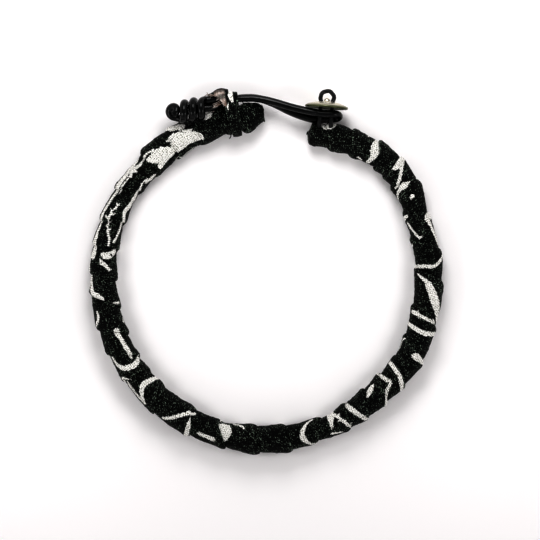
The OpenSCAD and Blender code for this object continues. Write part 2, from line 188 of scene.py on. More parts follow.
# The print: white brush strokes in pigment, laid on the cloth before it was cut, so that most of them
# stop where one turn covers the next. This table has those that show from above.
# Columns of a stroke: whether it runs on over the laps it meets, then its points. Columns of a point:
# angle, place across from -1 at the inner side to 1 at the outer side (past 1 it goes on round the
# outer side), half width.
WHITE_STROKES = [
    (0, [(42.7, 1.2, 0.9), (42.5, 0.8, 1.0), (42.3, 0.2, 0.95), (42.8, -0.4, 0.6), (41.9, -0.95, 0.3)]),
    (0, [(38.0, -0.86, 0.22), (39.4, -0.95, 0.2)]),
    (0, [(50.2, 1.2, 0.35), (51.1, 0.55, 0.75), (51.3, 0.05, 0.45)]),
    (1, [(50.4, 0.9, 0.2), (52.5, 0.5, 0.24), (55, -0.12, 0.28), (57.4, -0.75, 0.2)]),
    (1, [(57.9, 0.28, 0.08), (58.2, -0.2, 0.6), (58.7, -0.55, 0.32), (60.6, -0.9, 0.2),
         (62.2, -0.98, 0.2)]),
    (0, [(62.7, 0.1, 0.3), (63.1, -0.05, 0.32)]),
    (0, [(70.9, 1.2, 0.9), (71.4, 0.68, 0.62), (74.5, 0.83, 0.5), (77.5, 0.9, 0.6), (80.6, 0.98, 0.35)]),
    (1, [(83.8, 1.1, 0.2), (86.6, 0.8, 0.26), (88.1, 0.35, 0.28), (87.9, -0.3, 0.3), (87.7, -1.1, 0.34)]),
    (0, [(68.9, -0.8, 0.3), (69.6, -1.05, 0.35)]),
    (0, [(79.4, -0.95, 0.22), (80.4, -1.05, 0.2)]),
    (1, [(90.6, -0.78, 0.08), (93.2, -0.25, 0.4), (96.6, 0.18, 0.72), (100.5, 0.6, 0.85), (104, 0.92, 0.62),
         (107.8, 1.05, 0.25)]),
    (1, [(110.0, 1.1, 0.34), (111, 0.45, 0.4), (110.8, -0.2, 0.38), (109.2, -1.0, 0.34)]),
    (0, [(119.6, 1.15, 0.6), (119.2, 0.7, 0.68), (119.4, 0.22, 0.5)]),
    (0, [(114.3, -0.85, 0.2), (117, -0.94, 0.16), (120, -0.96, 0.18)]),
    (1, [(130.6, 0.95, 0.3), (128.6, 0.45, 0.32), (127.2, -0.1, 0.36), (126.2, -0.95, 0.38)]),
    (1, [(137.6, 0.95, 0.28), (134.6, 0.35, 0.3), (131.3, 0.02, 0.24), (131.8, -0.45, 0.32),
         (132.3, -1.05, 0.32)]),
    (0, [(136.4, -0.72, 0.25), (138.2, -0.62, 0.62), (140.4, -0.42, 0.3)]),
    (0, [(145.4, 0.95, 0.38), (146.8, 0.25, 0.42), (147.8, -0.4, 0.42), (149, -1.1, 0.36)]),
    (0, [(156.8, 0.3, 0.06), (156.3, -0.25, 0.36), (155.6, -0.72, 0.72), (155.2, -1.0, 0.85)]),
    (0, [(154.3, 0.86, 0.18), (157.2, 0.7, 0.34)]),
    (0, [(160.4, 0.96, 0.1), (164.6, 0.92, 0.2), (166.9, 0.4, 0.42), (166.8, -0.2, 0.4), (165, -0.72, 0.28),
         (162.4, -0.93, 0.16)]),
    (0, [(187.6, -0.7, 0.12), (188.9, -0.88, 0.2), (191.5, -0.96, 0.18)]),
    (0, [(195.4, 0.28, 1.25), (195.0, -0.3, 1.75), (194.8, -0.55, 1.5)]),
    (0, [(197.4, 0.5, 0.5), (202.2, 0.5, 0.28)]),
    (0, [(205.2, 1.1, 0.34), (206.3, 0.3, 0.4), (206.4, -0.72, 0.42)]),
    (1, [(206.6, -0.72, 0.3), (210.2, -0.15, 0.3), (214.6, 0.82, 0.3)]),
    (1, [(222.2, 0.8, 0.16), (225.2, 0.55, 0.38), (227.1, 0.0, 0.5), (226.8, -0.5, 0.46),
         (225.2, -1.05, 0.34)]),
    (1, [(222.4, 0.86, 0.16), (228, 0.9, 0.12), (233.2, 0.86, 0.16), (231.2, 0.5, 0.08)]),
    (1, [(241.5, 0.9, 0.22), (237.3, 0.72, 0.34), (235, 0.15, 0.46), (234.8, -0.5, 0.5),
         (236.4, -0.98, 0.28)]),
    (1, [(237.4, -0.5, 0.24), (241, -0.48, 0.44), (245, -0.4, 0.42), (248.4, -0.28, 0.5)]),
    (0, [(251.6, 0.98, 0.1), (254.2, 0.74, 0.32), (256.6, 0.68, 0.14)]),
    (0, [(250.9, -0.95, 0.24), (252, -0.98, 0.2)]),
    (0, [(258.4, -0.55, 0.18), (258.2, -0.9, 0.22)]),
    (0, [(260.2, 0.05, 0.12), (261.7, 0.4, 0.46), (263.6, 0.8, 0.4), (269.4, 0.92, 0.24)]),
    (1, [(263, 1.0, 0.3), (269.4, 0.95, 0.24), (275, 0.98, 0.3)]),
    (0, [(270.9, -0.48, 0.3), (272.8, -0.12, 0.24), (274.2, 0.26, 0.12)]),
    (0, [(272.5, -0.15, 0.16), (272.9, 0.22, 0.1)]),
    (0, [(276.0, 0.1, 0.4), (275.9, -0.35, 0.66), (278, -0.85, 0.4)]),
    (1, [(275.5, 0.84, 0.72), (279, 0.84, 0.6), (284, 0.86, 0.42), (290, 0.84, 0.34), (297, 0.76, 0.5),
         (302, 0.8, 0.62), (306, 0.86, 0.6), (311, 0.95, 0.5)]),
    (1, [(279.6, -0.25, 0.14), (282, -0.2, 0.2), (284.4, 0.02, 0.18)]),
    (1, [(281, -0.55, 0.2), (286, -0.82, 0.22), (289.4, -0.85, 0.35), (293, -0.66, 0.3),
         (296.2, -0.83, 0.55), (299.3, -0.88, 0.6), (302.4, -0.8, 0.35), (305.8, -0.6, 0.16),
         (308.6, -0.66, 0.2)]),
    (1, [(291.8, -0.6, 0.3), (294.2, -0.66, 0.34)]),
    (0, [(307.2, -0.78, 0.25), (309.6, -0.84, 0.48), (311.4, -0.88, 0.3)]),
    (1, [(305.2, 0.44, 0.2), (307.4, 0.66, 0.42), (310.6, 0.5, 0.3)]),
    (0, [(307.2, 0.55, 0.3), (308.2, 0.3, 0.1)]),
    (1, [(298, 0.42, 0.1), (304, 0.5, 0.14), (312, 0.58, 0.16), (317.6, 0.42, 0.12)]),
    (1, [(313.8, 0.2, 0.3), (316.2, -0.05, 0.9), (319.6, -0.1, 1.15), (323.4, -0.3, 0.9),
         (327.4, -0.1, 1.15), (331, -0.05, 1.0), (334.6, -0.3, 0.6)]),
    (1, [(315.2, -0.62, 0.5), (321, -0.42, 0.7), (329, -0.38, 0.62), (335, -0.5, 0.4)]),
    (0, [(325.2, 0.98, 0.6), (327, 0.86, 0.85), (329.4, 0.72, 0.7)]),
    (0, [(338.7, 0.92, 0.3), (340.1, 1.0, 0.42), (341.8, 0.92, 0.22)]),
    (1, [(22.0, 0.9, 0.4), (23.4, 0.72, 0.62), (25.0, 0.74, 0.78), (26.2, 0.86, 0.62)]),
    (1, [(321.5, -0.98, 0.1), (328, -0.96, 0.14), (333, -0.98, 0.1)]),
]
# Strokes with side hairs. Columns: their points as above, distance between hairs, their length, their lean
HAIRY_STROKES = [
    ([(71.2, -0.86, 0.24), (74.4, -0.72, 0.26), (77.6, -0.4, 0.16)], 1.1, 0.7, 60),
    ([(106.9, 0.86, 0.2), (106.4, 0.3, 0.26), (105.7, -0.3, 0.26), (104.8, -0.85, 0.4)], 0.95, 0.75, 55),
    ([(151.0, 0.85, 0.18), (152.1, 0.2, 0.22), (154.0, -0.75, 0.26)], 0.9, 0.8, 70),
    ([(284, 0.05, 0.14), (288, 0.24, 0.13), (291.2, 0.3, 0.13), (293, 0.12, 0.16), (295, -0.02, 0.1)],
     0.8, 1.1, 60),
    ([(222.6, 0.78, 0.1), (232.4, 0.84, 0.1)], 2.4, 0.5, 50),
    ([(314.6, 0.1, 0.2), (321, 0.3, 0.2), (327, 0.35, 0.25), (333, 0.3, 0.2)], 1.2, 0.6, 80),
]
# Black marks over the white: their points as above
BLACK_STROKES = [
    [(276.2, -0.62, 0.24), (276.9, -0.5, 0.14)],
    [(287.6, -0.5, 0.42), (289.8, -0.48, 0.72), (292.2, -0.46, 0.4)],
    [(321.4, 0.42, 0.75), (322.6, 0.1, 0.42), (323.2, -0.1, 0.2)],
    [(318.0, 0.55, 0.3), (319.6, 0.3, 0.16)],
    [(73.4, 0.9, 0.14), (76.2, 0.94, 0.12)],
    [(328, 0.55, 0.26), (329.4, 0.3, 0.14)],
    [(333.8, 0.45, 0.34), (332.4, 0.2, 0.18)],
    [(350.5, 1.4, 1.1), (357.5, 1.4, 1.1)],
]
MM_PER_DEGREE = 0.567
MM_PER_SIDE_DEGREE = 0.0463
FAR_OUTSIDE = -9.0
# Leaf strokes laid by chance round the outer wall, the underside and the inner wall
LEAF_SEED = 41
LEAVES = 92
LEAF_ANGLES = (20, 358)
LEAF_SIDES = (205, 335)
LEAF_REACH = (1, 3.4)
LEAF_WIDTH = (0.16, 0.5)
LEAF_BEND = 0.6
HAIR_WIDTH = (0.17, 0.04)


def side_of(across):
    """Degrees round the tube of a place across it as seen from above."""
    if abs(across) <= 1:
        return math.degrees(math.acos(-across))
    return 180 + 90 * (across - 1) if across > 0 else 90 * (across + 1)


def stroke_points(rows, parts=5):
    """A stroke's points in millimetres along and round the tube, with half widths, smoothly filled in."""
    rows = np.array([(a * MM_PER_DEGREE, side_of(q) * MM_PER_SIDE_DEGREE, w) for a, q, w in rows])
    table = np.column_stack([np.arange(len(rows)), rows])
    t = np.linspace(0, len(rows) - 1, parts * (len(rows) - 1) + 1)
    return np.stack([read_table(table, t, c) for c in (1, 2, 3)], -1)


def inside_stroke(points, x, y):
    """How far each place lies inside a stroke, in millimetres, and less than zero outside it."""
    depth = np.full(len(x), FAR_OUTSIDE)
    for (ax, ay, aw), (bx, by, bw) in zip(points[:-1], points[1:]):
        dx, dy = bx - ax, by - ay
        t = np.clip(((x - ax) * dx + (y - ay) * dy) / (dx * dx + dy * dy + 1e-9), 0, 1)
        depth = np.maximum(depth, aw + (bw - aw) * t - np.hypot(x - ax - t * dx, y - ay - t * dy))
    return depth


def run_along(line):
    """Distance along a line at each of its points."""
    return np.concatenate([[0], np.cumsum(np.linalg.norm(np.diff(line, axis=0), axis=1))])


def hairs(points, spacing, length, lean):
    """Short tapering strokes that leave a stroke on both sides."""
    run = run_along(points[:, :2])
    for k, s in enumerate(np.arange(spacing / 2, run[-1], spacing)):
        x, y = np.interp(s, run, points[:, 0]), np.interp(s, run, points[:, 1])
        i = min(np.searchsorted(run, s), len(points) - 1)
        way = math.atan2(points[i, 1] - points[i - 1, 1], points[i, 0] - points[i - 1, 0])
        turn = math.radians(lean) * (1 if k % 2 else -1)
        reach = length * (0.8 + 0.4 * math.sin(5 * k))
        tip = (x + reach * math.cos(way + turn), y + reach * math.sin(way + turn))
        yield np.array([[x, y, HAIR_WIDTH[0]], [*tip, HAIR_WIDTH[1]]])


def turn_at(angle, side):
    """The turn of the strip that shows at a place of the tube."""
    turns = np.arange(len(LAPS) - 1) + side % 360 / 360
    return int(np.searchsorted(edge_angle(turns), angle, side="right")) - 1


def printed(angle, side, turn):
    """How far each point lies inside the white print, in millimetres."""
    x, y = angle * MM_PER_DEGREE, np.where(side > 300, side - 360, side) * MM_PER_SIDE_DEGREE
    ink = np.full(len(x), FAR_OUTSIDE)

    def brush(points, runs_on, white=True):
        """Lays one stroke on the cloth, on its own turn alone unless it runs on."""
        near = (x > points[:, 0].min() - 2) & (x < points[:, 0].max() + 2)
        if not runs_on:
            middle = points[len(points) // 2]
            near &= turn == turn_at(middle[0] / MM_PER_DEGREE, middle[1] / MM_PER_SIDE_DEGREE)
        depth = inside_stroke(points, x[near], y[near])
        ink[near] = np.maximum(ink[near], depth) if white else np.minimum(ink[near], -depth)

    for runs_on, rows in WHITE_STROKES:
        brush(stroke_points(rows), runs_on)
    for rows, spacing, length, lean in HAIRY_STROKES:
        spine = stroke_points(rows)
        brush(spine, True)
        for hair in hairs(spine, spacing, length, lean):
            brush(hair, True)
    random = np.random.RandomState(LEAF_SEED)
    for _ in range(LEAVES):
        a = random.uniform(*LEAF_ANGLES) * MM_PER_DEGREE
        q = random.uniform(*LEAF_SIDES)
        way = random.uniform(0, 2 * math.pi)
        reach = random.uniform(*LEAF_REACH)
        width = random.uniform(*LEAF_WIDTH)
        bend = random.uniform(-LEAF_BEND, LEAF_BEND)
        q = (q - 360 if q > 300 else q) * MM_PER_SIDE_DEGREE
        leaf = [(a + reach * math.cos(way + bend * t) * t, q + reach * math.sin(way + bend * t) * t,
                 width * (1.02 - t * t)) for t in (-1, -0.5, 0, 0.5, 1)]
        brush(np.array(leaf), False)
    for rows in BLACK_STROKES:
        brush(stroke_points(rows), True, white=False)
    return np.clip(ink, -1, 1)


def wound_strip(material):
    """The whole strip as one sheet: folded under at its edge, round its lip, over its top and on
    under the next turn."""
    rows = (len(LAPS) - 1) * STEPS_PER_TURN + 1
    turns = np.arange(rows) / STEPS_PER_TURN
    own, following = edge_angle(turns), edge_angle(turns + 1)
    width = np.maximum((following - own) * MM_PER_DEGREE, LEAST_WIDTH)
    knots = len(LAPS) * 2
    sizes = np.random.RandomState(LAP_SEED).uniform(0.8, 1.2, knots)
    lap_size = np.interp(turns * 2, np.arange(knots), sizes)

    top = np.linspace(0, 1, TOP_COLUMNS) ** 1.1
    lip = slice(len(FOLDED_UNDER), len(FOLDED_UNDER) + len(ROUND_LIP))
    columns = lip.stop + TOP_COLUMNS
    crown = slice(lip.stop, columns - 1)
    from_edge, lift = np.zeros((rows, columns)), np.zeros((rows, columns))
    for k, (distance, height) in enumerate(FOLDED_UNDER):
        from_edge[:, k], lift[:, k] = distance, height
    from_edge[:, lip] = LIP_RADIUS * (1 + np.cos(ROUND_LIP))
    lift[:, lip] = LIP_RADIUS * np.sin(ROUND_LIP) * lap_size[:, None]
    after_lip = LIP_RADIUS / width[:, None]
    place = after_lip + (1 - after_lip) * top[None, 1:]
    from_edge[:, crown] = place * width[:, None]
    lift[:, crown] = read_table(LAP_PROFILE, place, 1) * LAP_STEP * lap_size[:, None]
    from_edge[:, -1], lift[:, -1] = width + UNDER_NEXT[0], UNDER_NEXT[1]

    # Puckers run round the tube and slant across it, and are largest at the gathered ends
    along = turns[:, None] * 360 * MM_PER_SIDE_DEGREE + 0 * from_edge
    angle = np.minimum(own[:, None] + from_edge / MM_PER_DEGREE, LAST_ANGLE)
    loose = 1 + 1.3 * np.exp(-((angle - 17) / 5) ** 2) + 0.8 * np.exp(-((angle - 358) / 6) ** 2)
    rise = np.clip(from_edge / 0.5, 0, 1) * np.clip((width[:, None] - from_edge) / 0.6 + 0.3, 0, 1)
    slant = from_edge / 1.15 - along / 7 + 9 * turns[:, None]
    crease = np.maximum(1 - 2 * np.abs(rumple(along / 4.2 + from_edge / 5, slant, 3)), 0)
    soft = rumple(along / 2.6, from_edge / 2.2, 11)
    fine = rumple(along / 0.9 + from_edge / 3, from_edge / 0.7, 19)
    lift += (CREASE * crease ** 2 + SOFT_PUCKER * soft + FINE_PUCKER * fine) * rise * loose
    lift[:, lip] += LIP_WAVER * rumple(along[:, lip] / 1.4, 0 * along[:, lip] + 5, 23)
    side = (turns * 360 % 360)[:, None] + 0 * from_edge
    for first, last, crest, reach, height in SLACK_ROWS:
        fold = np.clip(1 - (side - crest) ** 2 / reach ** 2, 0, 1)
        lift += height * fold * np.clip((angle - first) / 1.5, 0, 1) * np.clip((last - angle) / 1.5, 0, 1)
    turn = np.floor(turns)[:, None] + 0 * from_edge
    points = tube_places(angle, side, lift).reshape(-1, 3)
    ink = printed(angle.ravel(), side.ravel(), turn.ravel())
    weave = np.stack([along, from_edge, turn], -1).reshape(-1, 3)
    # Nearness to each turn's folded edge, where the cloth material adds painted glints
    lip_glint = np.exp(-((from_edge - 0.12) / 0.22) ** 2).ravel()
    return mesh_piece("cloth_strip", points, sheet_faces(rows, columns), material,
                      {"ink": ink, "weave_mm": weave, "lip": lip_glint})


def linear(code):
    """A colour given as sRGB hex, in linear light."""
    parts = [int(code[i:i + 2], 16) / 255 for i in (1, 3, 5)]
    return [*(c / 12.92 if c <= 0.04045 else ((c + 0.055) / 1.055) ** 2.4 for c in parts), 1]


def add_node(owner, kind, inputs=None, **settings):
    """A node with its settings. An input that is given a socket is linked to it."""
    tree = owner.node_tree
    made = tree.nodes.new("ShaderNode" + kind)
    for name, value in settings.items():
        setattr(made, name, value)
    for name, value in (inputs or {}).items():
        if isinstance(value, bpy.types.NodeSocket):
            tree.links.new(value, made.inputs[name])
        else:
            made.inputs[name].default_value = value
    return made


def new_material(name):
    """An empty node material."""
    material = bpy.data.materials.new(name)
    material.use_nodes = True
    material.node_tree.nodes.clear()
    return material


# Distance between the cotton's threads, how far they bend out of line, and how far the weave and its
# thick threads lie off the strip's own direction, because it was cut and wound on the slant
THREAD = 0.4
THREAD_BEND = (1.1, 1.1, 0)
WEAVE_SLANT = math.radians(9)
SLUB_SLANT = math.radians(40)
# Patterns in the cotton, as how many of each lie in a millimetre: bends in a thread's way, fibres, bits of
# the print's ragged edge, blotches, and thick threads along and across their own way
BENDS_PER_MM = 0.35
FIBRES_PER_MM = 5.0
RAGGED_PER_MM = 1.9
BLOTCHES_PER_MM = 0.9
SLUBS_PER_MM = (3.2, 4.4, 1)


def plain_weave(material, place):
    """Height of plain-woven threads, each crown domed, from a place in millimetres."""
    wander = add_node(material, "TexNoise", {"Vector": place, "Scale": BENDS_PER_MM, "Detail": 1.0})
    bent = add_node(material, "VectorMath", {0: wander.outputs["Color"], 1: THREAD_BEND, 2: place},
                    operation="MULTIPLY_ADD")
    slanted = add_node(material, "Mapping", {"Vector": bent.outputs[0], "Rotation": (0, 0, WEAVE_SLANT),
                                             "Scale": (math.pi / THREAD, math.pi / THREAD, 0)})
    parts = add_node(material, "SeparateXYZ", {0: slanted.outputs[0]})
    warp, weft = (add_node(material, "Math", {0: parts.outputs[axis]}, operation="COSINE").outputs[0]
                  for axis in "XY")
    crossed = add_node(material, "Math", {0: warp, 1: weft}, operation="MULTIPLY")
    size = add_node(material, "Math", {0: crossed.outputs[0]}, operation="ABSOLUTE")
    return add_node(material, "Math", {0: size.outputs[0], 1: 0.6}, operation="POWER").outputs[0]


def woven_cotton():
    """Plain-woven cotton, dyed deep black, with a few grey-green specks on its thick threads, more in
    blotches, on the crowns and near folded edges: painted glints that stand in for highlights on the
    thread crowns. The white print is mixed with a grey in specks where the threads lie low between
    their crowns and where the slubs are thin, and its edge is broken by the weave. The unprinted back is a
    pinkish buff, darker in blotches and between the threads' crowns: painted shade that stands in for
    the shade in its folds and weave. The weave is drawn at its real spacing, 0.4 mm."""
    cotton = new_material("printed_cotton")
    place = add_node(cotton, "Attribute", attribute_name="weave_mm").outputs["Vector"]
    ink, lip, raw = (add_node(cotton, "Attribute", attribute_name=name).outputs["Fac"]
                     for name in ("ink", "lip", "raw"))
    crown = plain_weave(cotton, place)
    blotch = add_node(cotton, "TexNoise", {"Vector": place, "Scale": BLOTCHES_PER_MM,
                                           "Detail": 3.0}).outputs["Fac"]
    fibre = add_node(cotton, "TexNoise", {"Vector": place, "Scale": FIBRES_PER_MM, "Detail": 4.0,
                                          "Roughness": 0.7}).outputs["Fac"]
    ragged = add_node(cotton, "TexNoise", {"Vector": place, "Scale": RAGGED_PER_MM, "Detail": 3.0,
                                           "Roughness": 0.65}).outputs["Fac"]
    edge = ink
    for part, share in ((fibre, 0.5), (crown, 0.1), (ragged, 0.65)):
        edge = add_node(cotton, "Math", {0: part, 1: share, 2: edge}, operation="MULTIPLY_ADD").outputs[0]
    mask = add_node(cotton, "MapRange", {"Value": edge, "From Min": 0.54, "From Max": 0.61},
                    interpolation_type="SMOOTHSTEP").outputs[0]
    drawn = add_node(cotton, "Mapping", {"Vector": place, "Rotation": (0, 0, SLUB_SLANT),
                                         "Scale": SLUBS_PER_MM}).outputs[0]
    slub = add_node(cotton, "TexNoise", {"Vector": drawn, "Scale": 1.0, "Detail": 2.0}).outputs["Fac"]
    # Painted glints: grey-green specks on thick threads, crowns and folded edges stand in for highlights
    glint_weight = slub
    for part, share in ((blotch, 0.35), (lip, 0.06), (crown, 0.12)):
        glint_weight = add_node(cotton, "Math", {0: part, 1: share, 2: glint_weight}, operation="MULTIPLY_ADD").outputs[0]
    lit = add_node(cotton, "MapRange", {"Value": glint_weight, "From Min": 0.84, "From Max": 0.96},
                   interpolation_type="SMOOTHSTEP").outputs[0]
    # Inputs 0, 6 and 7 of a Mix node are its share and its two colours, and output 2 is their mixture
    # The black with the painted glints mixed in
    black = add_node(cotton, "Mix", {0: lit, 6: linear("#010201"), 7: linear("#8c9a8b")}, data_type="RGBA")
    # The white mixes with a grey where the threads lie low between crowns and where the slubs are thin
    raised = add_node(cotton, "Math", {0: crown, 1: 0.18, 2: slub}, operation="MULTIPLY_ADD").outputs[0]
    white_share = add_node(cotton, "MapRange", {"Value": raised, "From Min": 0.45, "From Max": 0.58},
                     interpolation_type="SMOOTHSTEP").outputs[0]
    white = add_node(cotton, "Mix", {0: white_share, 6: linear("#8f8d80"), 7: linear("#fffefa")}, data_type="RGBA")
    face = add_node(cotton, "Mix", {0: mask, 6: black.outputs[2], 7: white.outputs[2]}, data_type="RGBA")
    thread = add_node(cotton, "Math", {0: crown, 1: fibre}, operation="MULTIPLY").outputs[0]
    # Painted shade on the buff back, darker in blotches and between crowns, for its folds and weave
    back_lit_amount = add_node(cotton, "Math", {0: thread, 1: 0.4, 2: blotch}, operation="MULTIPLY_ADD").outputs[0]
    back_lit_share = add_node(cotton, "MapRange", {"Value": back_lit_amount, "From Min": 0.45, "From Max": 0.85},
                     interpolation_type="SMOOTHSTEP").outputs[0]
    back = add_node(cotton, "Mix", {0: back_lit_share, 6: linear("#a48f82"), 7: linear("#f3e8e2")}, data_type="RGBA")
    colour = add_node(cotton, "Mix", {0: raw, 6: face.outputs[2], 7: back.outputs[2]}, data_type="RGBA")
    height = add_node(cotton, "Math", {0: fibre, 1: 0.5, 2: crown}, operation="MULTIPLY_ADD").outputs[0]
    bump = add_node(cotton, "Bump", {"Height": height, "Strength": 1.0, "Distance": 0.16 * MM})
    rough = add_node(cotton, "MapRange", {"Value": fibre, "From Min": 0.3, "From Max": 0.7, "To Min": 0.5,
                                          "To Max": 0.7}, interpolation_type="SMOOTHSTEP")
    shader = add_node(cotton, "BsdfPrincipled", {
        "Base Color": colour.outputs[2], "Normal": bump.outputs[0], "Roughness": rough.outputs[0],
        "Specular IOR Level": 0.1})
    add_node(cotton, "OutputMaterial", {"Surface": shader.outputs["BSDF"]})
    return cotton


printed_cotton = woven_cotton()
strip = wound_strip(printed_cotton)
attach(strip, "root")
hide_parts("cloth_wrap")


# The tube's two ends: the strip's own cloth, folded in over the end of the core and drawn together in
# gathers that run in to its middle. The first end is domed, the last one nearly flat.
CAP_RINGS = 14
CAP_SIDES = 72


def gathered_end(name, end_angle, outward_way, dome, gathers, depth):
    """The cloth over one end of the tube, as rings from its edge in to its middle."""
    rows, weave = [], []
    side = np.arange(0, 360, 360 / CAP_SIDES)
    half_width, = values_at(SECTIONS, end_angle, 2)
    for rho in np.linspace(1.06, 0, CAP_RINGS):
        lift = 0 * side - (1 - rho) * half_width
        folds = np.cos(gathers * np.radians(side)) + 0.8 * rumple(side / 25, 0 * side + rho * 3, 27)
        crest = depth * math.sin(math.pi * min(rho, 1)) * folds
        along = end_angle + outward_way * (dome * (1 - rho * rho) + crest) / MM_PER_DEGREE
        rows.append(tube_places(along, side, lift))
        weave.append(np.stack([side * MM_PER_SIDE_DEGREE, 0 * side + rho * 2, 0 * side + 70], -1))
    faces = sheet_faces(CAP_RINGS, CAP_SIDES, closed=True)
    points = np.vstack(rows)
    return mesh_piece(name, points, faces if outward_way > 0 else faces[:, ::-1], printed_cotton,
                      {"ink": np.full(len(points), -1.0), "weave_mm": np.vstack(weave)})


for cap in (gathered_end("first_end", FIRST_ANGLE, -1, 0.45, 9, 0.12),
            gathered_end("last_end", LAST_ANGLE, 1, 0.12, 4, 0.06)):
    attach(cap, "root")


# The leather cord: round black leather, dyed through, doubled into a loop that slips under the button.
# Its legs run along the outer side of the wound tube, and end in a knot where the outer one is wound
# round the inner one and closes in a ring, with its end laid over it. The knot is pulled tight by hand.
LEATHER_D = 1.5
LEATHER_SIDES = 24
LEATHER_STEP = 0.26
# Columns: x, y, z of the middle between the legs, half distance between them, tilt of the pair
LEG_ROWS = np.array([
    [-12.8, 33.22, 5.60, 0.80, 0], [-11.2, 33.30, 5.50, 0.80, 8], [-9.4, 33.75, 5.15, 0.83, 30],
    [-7.8, 34.08, 4.70, 0.83, 62], [-6.2, 34.35, 4.30, 0.80, 88], [-4.4, 34.55, 4.00, 0.80, 96],
    [-2.4, 34.58, 3.90, 0.80, 96], [-0.4, 34.26, 3.90, 0.80, 92], [2.0, 33.52, 4.00, 0.80, 80],
    [5.0, 32.33, 4.15, 0.82, 60], [7.2, 31.62, 4.25, 0.95, 53], [9.2, 31.12, 4.30, 1.22, 58],
    [11.2, 30.92, 4.36, 1.50, 70], [13.2, 30.90, 4.38, 1.52, 72],
])
# Columns: angle round the knot's axis, distance along it, radius level with the floor, radius upwards
KNOT_ROWS = np.array([
    [4, -1.3, 1.46, 1.0], [20, -0.85, 1.52, 1.3], [42, -0.5, 1.60, 1.52], [66, -0.28, 1.64, 1.62],
    [92, -0.15, 1.66, 1.66], [180, 0.2, 1.66, 1.66], [360, 1.02, 1.66, 1.66], [540, 1.95, 1.64, 1.66],
    [720, 2.85, 1.60, 1.64], [900, 3.72, 1.50, 1.55],
])
KNOT_STEP = 38
# The winding's turns press on each other, which fills the soft cord out between these distances along it
PRESSED_RUN = (61, 89)
PRESSED_SWELL = 0.07
# How uneven its radius is, as a share of it, and how far its cut ends are trimmed
LEATHER_UNEVEN = 0.016
LEATHER_TRIM = 0.09
# Patterns in the leather, as how many of each lie in a millimetre: pebbles of its grain, creases along and
# across the cord, and blotches
PEBBLES_PER_MM = 4.5
CREASES_PER_MM = (0.35, 3.2, 3.2)
DYE_BLOTCHES_PER_MM = 0.45
# Where the cord leaves the winding and closes the knot's left end: a ring, with its own end laid over
# it. Columns: distance along the knot's axis, offset level with the floor, offset upwards
TUCK_ROWS = np.array([
    [3.96, -1.42, -0.45], [4.50, -1.08, -0.70], [5.10, -0.80, -0.78], [5.74, -0.50, -0.76],
    [6.14, 0.04, -0.68], [6.14, 0.72, -0.50], [5.70, 1.24, -0.18], [5.14, 1.34, 0.22], [4.74, 1.04, 0.66],
    [4.72, 0.46, 0.96], [5.06, -0.02, 1.04], [5.56, -0.22, 0.94],
])
# Where the inner leg ends, along the knot's axis
CORE_PLACES = np.array([2.55, 1.8, 1])
KNOT_START = np.array([-12.8, 32.42, 5.6])
KNOT_AXIS = np.array([-0.982, -0.19, 0])
BIGHT_STEPS = 6


def knot_places(along, level, up):
    """Points about the knot's axis."""
    beside = np.array([KNOT_AXIS[1], -KNOT_AXIS[0], 0])
    return KNOT_START + np.outer(along, KNOT_AXIS) + np.outer(level, beside) + np.outer(up, (0, 0, 1))


def leather_route():
    """The cord's middle line: the knot's core, one leg, the bight, the other leg, the knot's turns and
    its end ring."""
    middle = LEG_ROWS[:, :3]
    way = np.vstack([middle[1:], middle[-1:]]) - np.vstack([middle[:1], middle[:-1]])
    way[:, 2] = 0
    way /= np.linalg.norm(way, axis=1, keepdims=True)
    tilt, half = np.radians(LEG_ROWS[:, 4]), LEG_ROWS[:, 3]
    offset = half[:, None] * np.stack([-way[:, 1] * np.cos(tilt), way[:, 0] * np.cos(tilt), np.sin(tilt)], -1)
    t = np.radians(180 - 180 * np.arange(1, BIGHT_STEPS) / BIGHT_STEPS)
    bight = middle[-1] + np.outer(np.cos(t), offset[-1]) + np.outer(np.sin(t), way[-1]) * half[-1]
    lead_in, winding = KNOT_ROWS[:4, 0], np.arange(KNOT_ROWS[4, 0], KNOT_ROWS[-1, 0] + 1, KNOT_STEP)
    angle = np.concatenate([lead_in, winding])
    along, level, up = (read_table(KNOT_ROWS, angle, column) for column in (1, 2, 3))
    turns = knot_places(along, level * np.cos(np.radians(angle)), up * np.sin(np.radians(angle)))
    core = knot_places(CORE_PLACES, 0 * CORE_PLACES, 0 * CORE_PLACES)
    tuck = knot_places(*TUCK_ROWS.T)
    return np.vstack([core, middle - offset, bight, (middle + offset)[:0:-1], turns, tuck])


def even_line(line, count):
    """The line's points again, an even way apart."""
    run = run_along(line)
    even = np.linspace(0, run[-1], count)
    return np.stack([np.interp(even, run, c) for c in line.T], -1)


def smooth_line(points, step):
    """A smooth line through the points, with its own points a step apart."""
    points = np.asarray(points, float)
    table = np.column_stack([np.arange(len(points)), points])
    t = np.linspace(0, len(points) - 1, 12 * len(points))
    line = np.stack([read_table(table, t, c) for c in (1, 2, 3)], -1)
    return even_line(line, max(int(run_along(line)[-1] / step), 3) + 1)


